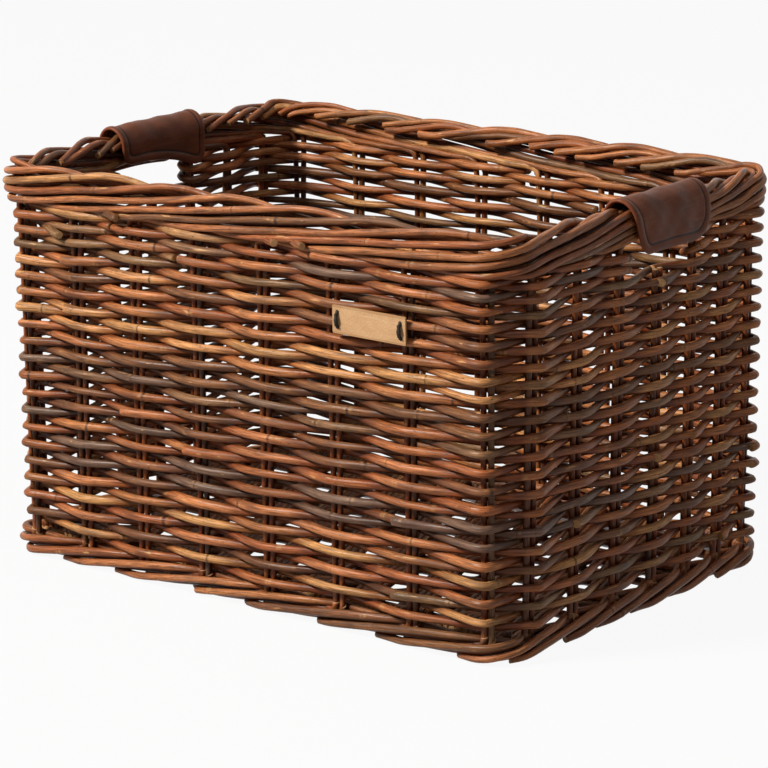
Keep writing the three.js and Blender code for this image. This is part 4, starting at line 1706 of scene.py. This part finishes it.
@dataclass
class Label:
    """A bare leather plate on the front wall, with two holes at each end and a cord through them."""

    plan: Plan
    leather: bpy.types.Material
    cord: bpy.types.Material
    corner: float = 1.3
    hole: float = 1.35
    hole_spacing: float = 10.0
    hole_from_end: float = 4.5
    edge_round: float = 0.35
    cord_radius: float = 1.0
    cord_twist: float = 2.6
    tie_turn: float = 0.62
    tie_entry: float = 0.12
    tie_behind: float = 1.6
    bulge: float = 1.2
    stand_off: float = 1.3
    trim: float = 1.1
    thickness: float = 1.6

    def build(self) -> None:
        """Makes the plate and its two ties."""
        low, high = (np.array(c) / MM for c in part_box("label"))
        size, middle = high - low, (low + high) / 2
        tilt = math.atan2(self.plan.lean, self.plan.crown)
        turn = Matrix.Rotation(math.pi / 2 + tilt, 4, "X")
        place = Matrix.Translation(Vector(middle) - Vector((0.0, self.stand_off, 0.0))) @ turn
        outline = self._outline(size[0] / 2, size[2] / 2 - self.trim)
        ends, half = size[0] / 2 - self.hole_from_end, self.hole_spacing / 2
        holes = [self._ring(x, y) for x in (-ends, ends) for y in (-half, half)]
        self._plate(outline, holes, place)
        for x, name in ((-ends, "label_tie_left"), (ends, "label_tie_right")):
            self._tie(x, name, place)

    def _outline(self, half_wide: float, half_tall: float) -> Array:
        """The plate's outline with slightly rounded corners.

        Args:
            half_wide: Half the plate's width.
            half_tall: Half its height.

        Returns:
            Rows of x and y.
        """
        angles = np.linspace(0, math.pi / 2, 7)
        made = []
        for k, (sx, sy) in enumerate(((1, 1), (-1, 1), (-1, -1), (1, -1))):
            turned = angles + k * math.pi / 2
            centre = np.array([sx * (half_wide - self.corner), sy * (half_tall - self.corner)])
            made.append(centre + self.corner * np.column_stack([np.cos(turned), np.sin(turned)]))
        return np.concatenate(made)

    def _ring(self, x: float, y: float) -> Array:
        """A hole's outline."""
        angles = np.linspace(0, 2 * math.pi, 20, endpoint=False)
        return np.array([x, y]) + self.hole * np.column_stack([np.cos(angles), np.sin(angles)])

    def _plate(self, outline: Array, holes: list[Array], place: Matrix) -> None:
        """Makes the plate from a filled curve with rounded edges.

        Args:
            outline: The outline in millimetres.
            holes: The holes' outlines.
            place: Where the plate's middle goes, in millimetres.
        """
        curve = bpy.data.curves.new("label_outline", "CURVE")
        curve.dimensions = "2D"
        curve.fill_mode = "BOTH"
        curve.extrude = self.thickness / 2 - self.edge_round
        curve.bevel_depth = self.edge_round
        curve.bevel_resolution = 3
        curve.offset = -self.edge_round
        for ring in (outline, *holes):
            spline = curve.splines.new("POLY")
            spline.points.add(len(ring) - 1)
            for point, (x, y) in zip(spline.points, ring):
                point.co = (x, y, 0, 1)
            spline.use_cyclic_u = True
        source = bpy.data.objects.new("label_outline", curve)
        mesh = bpy.data.meshes.new_from_object(source)
        bpy.data.objects.remove(source)
        bpy.data.curves.remove(curve)
        flat = np.array([v.co for v in mesh.vertices])
        reach = np.abs(outline).max(axis=0)
        rim = np.minimum(reach[0] - np.abs(flat[:, 0]), reach[1] - np.abs(flat[:, 1])) + 0.25
        mesh.transform(Matrix.Scale(MM, 4) @ place)
        mesh.name = "label_plate"
        mesh.validate()
        seat(mesh, self.leather, {"rim": rim, "sheet": flat}, ["label"])

    def _tie(self, x: float, node: str, place: Matrix) -> None:
        """Makes one tie: cord out through one hole, in through the other and round a rod behind.

        Args:
            x: Where the holes are along the plate.
            node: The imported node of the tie.
            place: Where the plate's middle goes, in millimetres.
        """
        bundle = RodBundle(f"{node}_cord", SEED + 60 + int(x), self.plan)
        angle = np.linspace(-self.tie_turn * math.pi, self.tie_turn * math.pi, 61)
        half = self.hole_spacing / 2
        rise = half * np.sin(np.clip(angle, -math.pi / 2, math.pi / 2))
        spread = self.cord_radius * 0.6
        front = self.thickness / 2 + spread + self.bulge * np.clip(np.cos(angle), 0, 1) ** 0.6
        behind = np.clip((np.abs(angle) - math.pi / 2) / (self.tie_entry * math.pi), 0, 1)
        depth = front - behind * (front + self.thickness / 2 + self.tie_behind)
        # The cord is two strands, twisted round each other.
        for phase in (0.0, math.pi):
            twist = angle * self.cord_twist + phase
            local = np.column_stack([x + spread * np.cos(twist), rise, depth + 0.6 * spread * np.sin(twist)])
            points = np.array([place @ Vector(c) for c in local])
            bundle.add(Rod(points, self.cord_radius, linear(CordFinish.colour), knuckles=False))
        bundle.make(self.cord, [node], "tie_cord")


def plainly_seen(tree: bpy.types.NodeTree) -> bpy.types.NodeSocket:
    """Tells which rays show the room to the camera, straight, mirrored or through glass.

    Args:
        tree: The node tree of a material or world.

    Returns:
        One for such rays, else zero.
    """
    rays = add_node(tree, "ShaderNodeLightPath").outputs
    seen = rays["Is Camera Ray"]
    for name in ("Is Glossy Ray", "Is Transmission Ray"):
        seen = add_node(tree, "ShaderNodeMath", {"operation": "MAXIMUM"}, {0: seen, 1: rays[name]}).outputs[0]
    return seen


@dataclass(frozen=True)
class Lamp:
    """A square area lamp that looks at the basket: place and size in metres, power in watts."""

    name: str
    place: tuple[float, float, float]
    size: float
    power: float
    colour: str


@dataclass
class Studio:
    """A pale floor, soft light and the camera, as it was fitted to the corners of the photographed basket."""

    camera_place: tuple[float, float, float] = (1.5971, -1.9702, 0.7905)
    yaw: float = -39.003
    pitch: float = 14.683
    roll: float = -0.522
    focal_pixels: float = 3709.5
    sensor: float = 36.0
    floor_reach: float = 6.0
    aim: tuple[float, float, float] = (0.0, 0.0, 0.14)
    paper: tuple[float, ...] = (0.42, 0.42, 0.42, 1.0)
    paper_white: float = 0.93
    sky: float = 0.02
    lamps: tuple[Lamp, ...] = (
        Lamp("key", (-1.4, -2.35, 2.6), 0.7, 214.0, "#fffaf2"),
        Lamp("fill", (1.9, -0.8, 2.6), 0.7, 10.5, "#f8f6ff"),
        Lamp("top", (0.1, 0.5, 3.0), 1.2, 9.0, "#ffffff"),
    )

    def build(self, centre_y: float) -> None:
        """Makes the camera, the floor, the lamps and the sky.

        Args:
            centre_y: Where the middle of the rim lies along Y, in metres.
        """
        self._camera(centre_y)
        self._floor()
        for lamp in self.lamps:
            self._lamp(lamp)
        self._sky()
        bpy.context.scene.view_settings.view_transform = "Standard"

    def _camera(self, centre_y: float) -> None:
        """Places the camera.

        Args:
            centre_y: Where the middle of the rim lies along Y, in metres.
        """
        yaw, pitch, roll = (math.radians(v) for v in (self.yaw, self.pitch, self.roll))
        ahead = Vector((math.sin(yaw) * math.cos(pitch), math.cos(yaw) * math.cos(pitch), -math.sin(pitch)))
        right = Vector((math.cos(yaw), -math.sin(yaw), 0.0))
        up = right.cross(ahead)
        turned_right = right * math.cos(roll) + up * math.sin(roll)
        turned_up = up * math.cos(roll) - right * math.sin(roll)
        data = bpy.data.cameras.new("camera")
        data.sensor_width = self.sensor
        data.lens = self.focal_pixels / PHOTO_PIXELS * self.sensor
        camera = bpy.data.objects.new("camera", data)
        x, y, z = self.camera_place
        axes = Matrix((turned_right, turned_up, -ahead)).transposed().to_4x4()
        camera.matrix_world = Matrix.Translation((x, y + centre_y, z)) @ axes
        bpy.context.scene.collection.objects.link(camera)
        bpy.context.scene.camera = camera

    def _floor(self) -> None:
        """Makes a wide floor of pale paper, which the camera sees as white and which keeps the shadow."""
        material, tree = blank_material("pale_floor")
        paper = add_node(tree, "ShaderNodeBsdfPrincipled", inputs={"Base Color": self.paper, "Roughness": 0.9})
        white = add_node(tree, "ShaderNodeEmission", inputs={"Color": (1, 1, 1, 1), "Strength": 1.0})
        seen = {0: plainly_seen(tree), 1: self.paper_white}
        share = add_node(tree, "ShaderNodeMath", {"operation": "MULTIPLY"}, seen).outputs[0]
        both = {0: share, 1: paper.outputs[0], 2: white.outputs[0]}
        shader = add_node(tree, "ShaderNodeMixShader", inputs=both)
        add_node(tree, "ShaderNodeOutputMaterial", inputs={"Surface": shader.outputs[0]})
        mesh = bpy.data.meshes.new("floor")
        reach = self.floor_reach
        corners = [(-reach, -reach, 0), (reach, -reach, 0), (reach, reach, 0), (-reach, reach, 0)]
        mesh.from_pydata(corners, [], [(0, 1, 2, 3)])
        mesh.materials.append(material)
        floor = bpy.data.objects.new("floor", mesh)
        bpy.context.scene.collection.objects.link(floor)

    def _lamp(self, lamp: Lamp) -> None:
        """Hangs one lamp, turned to the middle of the basket.

        Args:
            lamp: The lamp.
        """
        data = bpy.data.lights.new(lamp.name, "AREA")
        data.size = lamp.size
        data.energy = lamp.power
        data.color = linear(lamp.colour)
        hung = bpy.data.objects.new(lamp.name, data)
        hung.location = lamp.place
        hung.rotation_euler = (Vector(self.aim) - Vector(lamp.place)).to_track_quat("-Z", "Y").to_euler()
        bpy.context.scene.collection.objects.link(hung)

    def _sky(self) -> None:
        """Makes an even sky that the camera sees as white and that lights the basket only a little."""
        world = bpy.data.worlds.new("sky")
        world.use_nodes = True
        tree = world.node_tree
        tree.nodes.clear()
        seen = {0: plainly_seen(tree), 2: self.sky, 3: 1.0}
        strength = add_node(tree, "ShaderNodeMix", {"data_type": "FLOAT"}, seen).outputs[0]
        back = add_node(tree, "ShaderNodeBackground", inputs={"Color": (1, 1, 1, 1), "Strength": strength})
        add_node(tree, "ShaderNodeOutputWorld", inputs={"Surface": back.outputs[0]})
        bpy.context.scene.world = world


def rim_centre() -> float:
    """Finds the middle of the rim from the outermost strands of the long walls.

    Returns:
        Where it lies along Y, in metres.
    """
    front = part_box("stake_pair_front_4")[0][1]
    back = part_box("stake_pair_back_4")[1][1]
    return (front + back) / 2


def main() -> None:
    """Builds the basket piece by piece."""
    logging.basicConfig(level=logging.INFO, format="%(name)s: %(message)s")
    centre_y = rim_centre()
    Studio().build(centre_y)
    plan = Plan(centre_y=centre_y / MM)
    rods = RodFinish().make()
    StakePairs(plan, rods).build()
    Weave(plan, rods).build()
    Base(plan, rods).build()
    hide = LeatherFinish(
        "grip_leather", colour="#683a26", deep="#55301f", crease_tone="#774833", edge="#7c432b"
    ).make()
    right_flaps = (
        Flap((-27.0, 62.0), (1.0, 72.0), (252.0, 250.5), 1.0, (7.0, 22.0)),
        Flap((-27.0, 62.0), (-24.0, 64.0), (256.0, 256.0), 3.0, (8.0, 16.0)),
    )
    left_flaps = (
        Flap((-38.0, 52.0), (-32.0, 48.0), (254.0, 252.0), 2.0, (9.0, 18.0)),
        Flap((-38.0, 52.0), (-34.0, 49.0), (263.5, 250.0), 5.0, (9.0, 12.0)),
    )
    Grip("right", plan, hide, 1, *right_flaps).build()
    Grip("left", plan, hide, -1, *left_flaps).build()
    label_hide = LeatherFinish(
        "label_leather", colour="#c39d75", deep="#b78f68", crease_tone="#cdaa84", edge="#8f6844",
        roughness=(0.6, 0.75), shine=0.15, seam_inset=NO_SEAM,
    ).make()
    Label(plan, label_hide, CordFinish().make()).build()


if __name__ == "__main__":
    main()
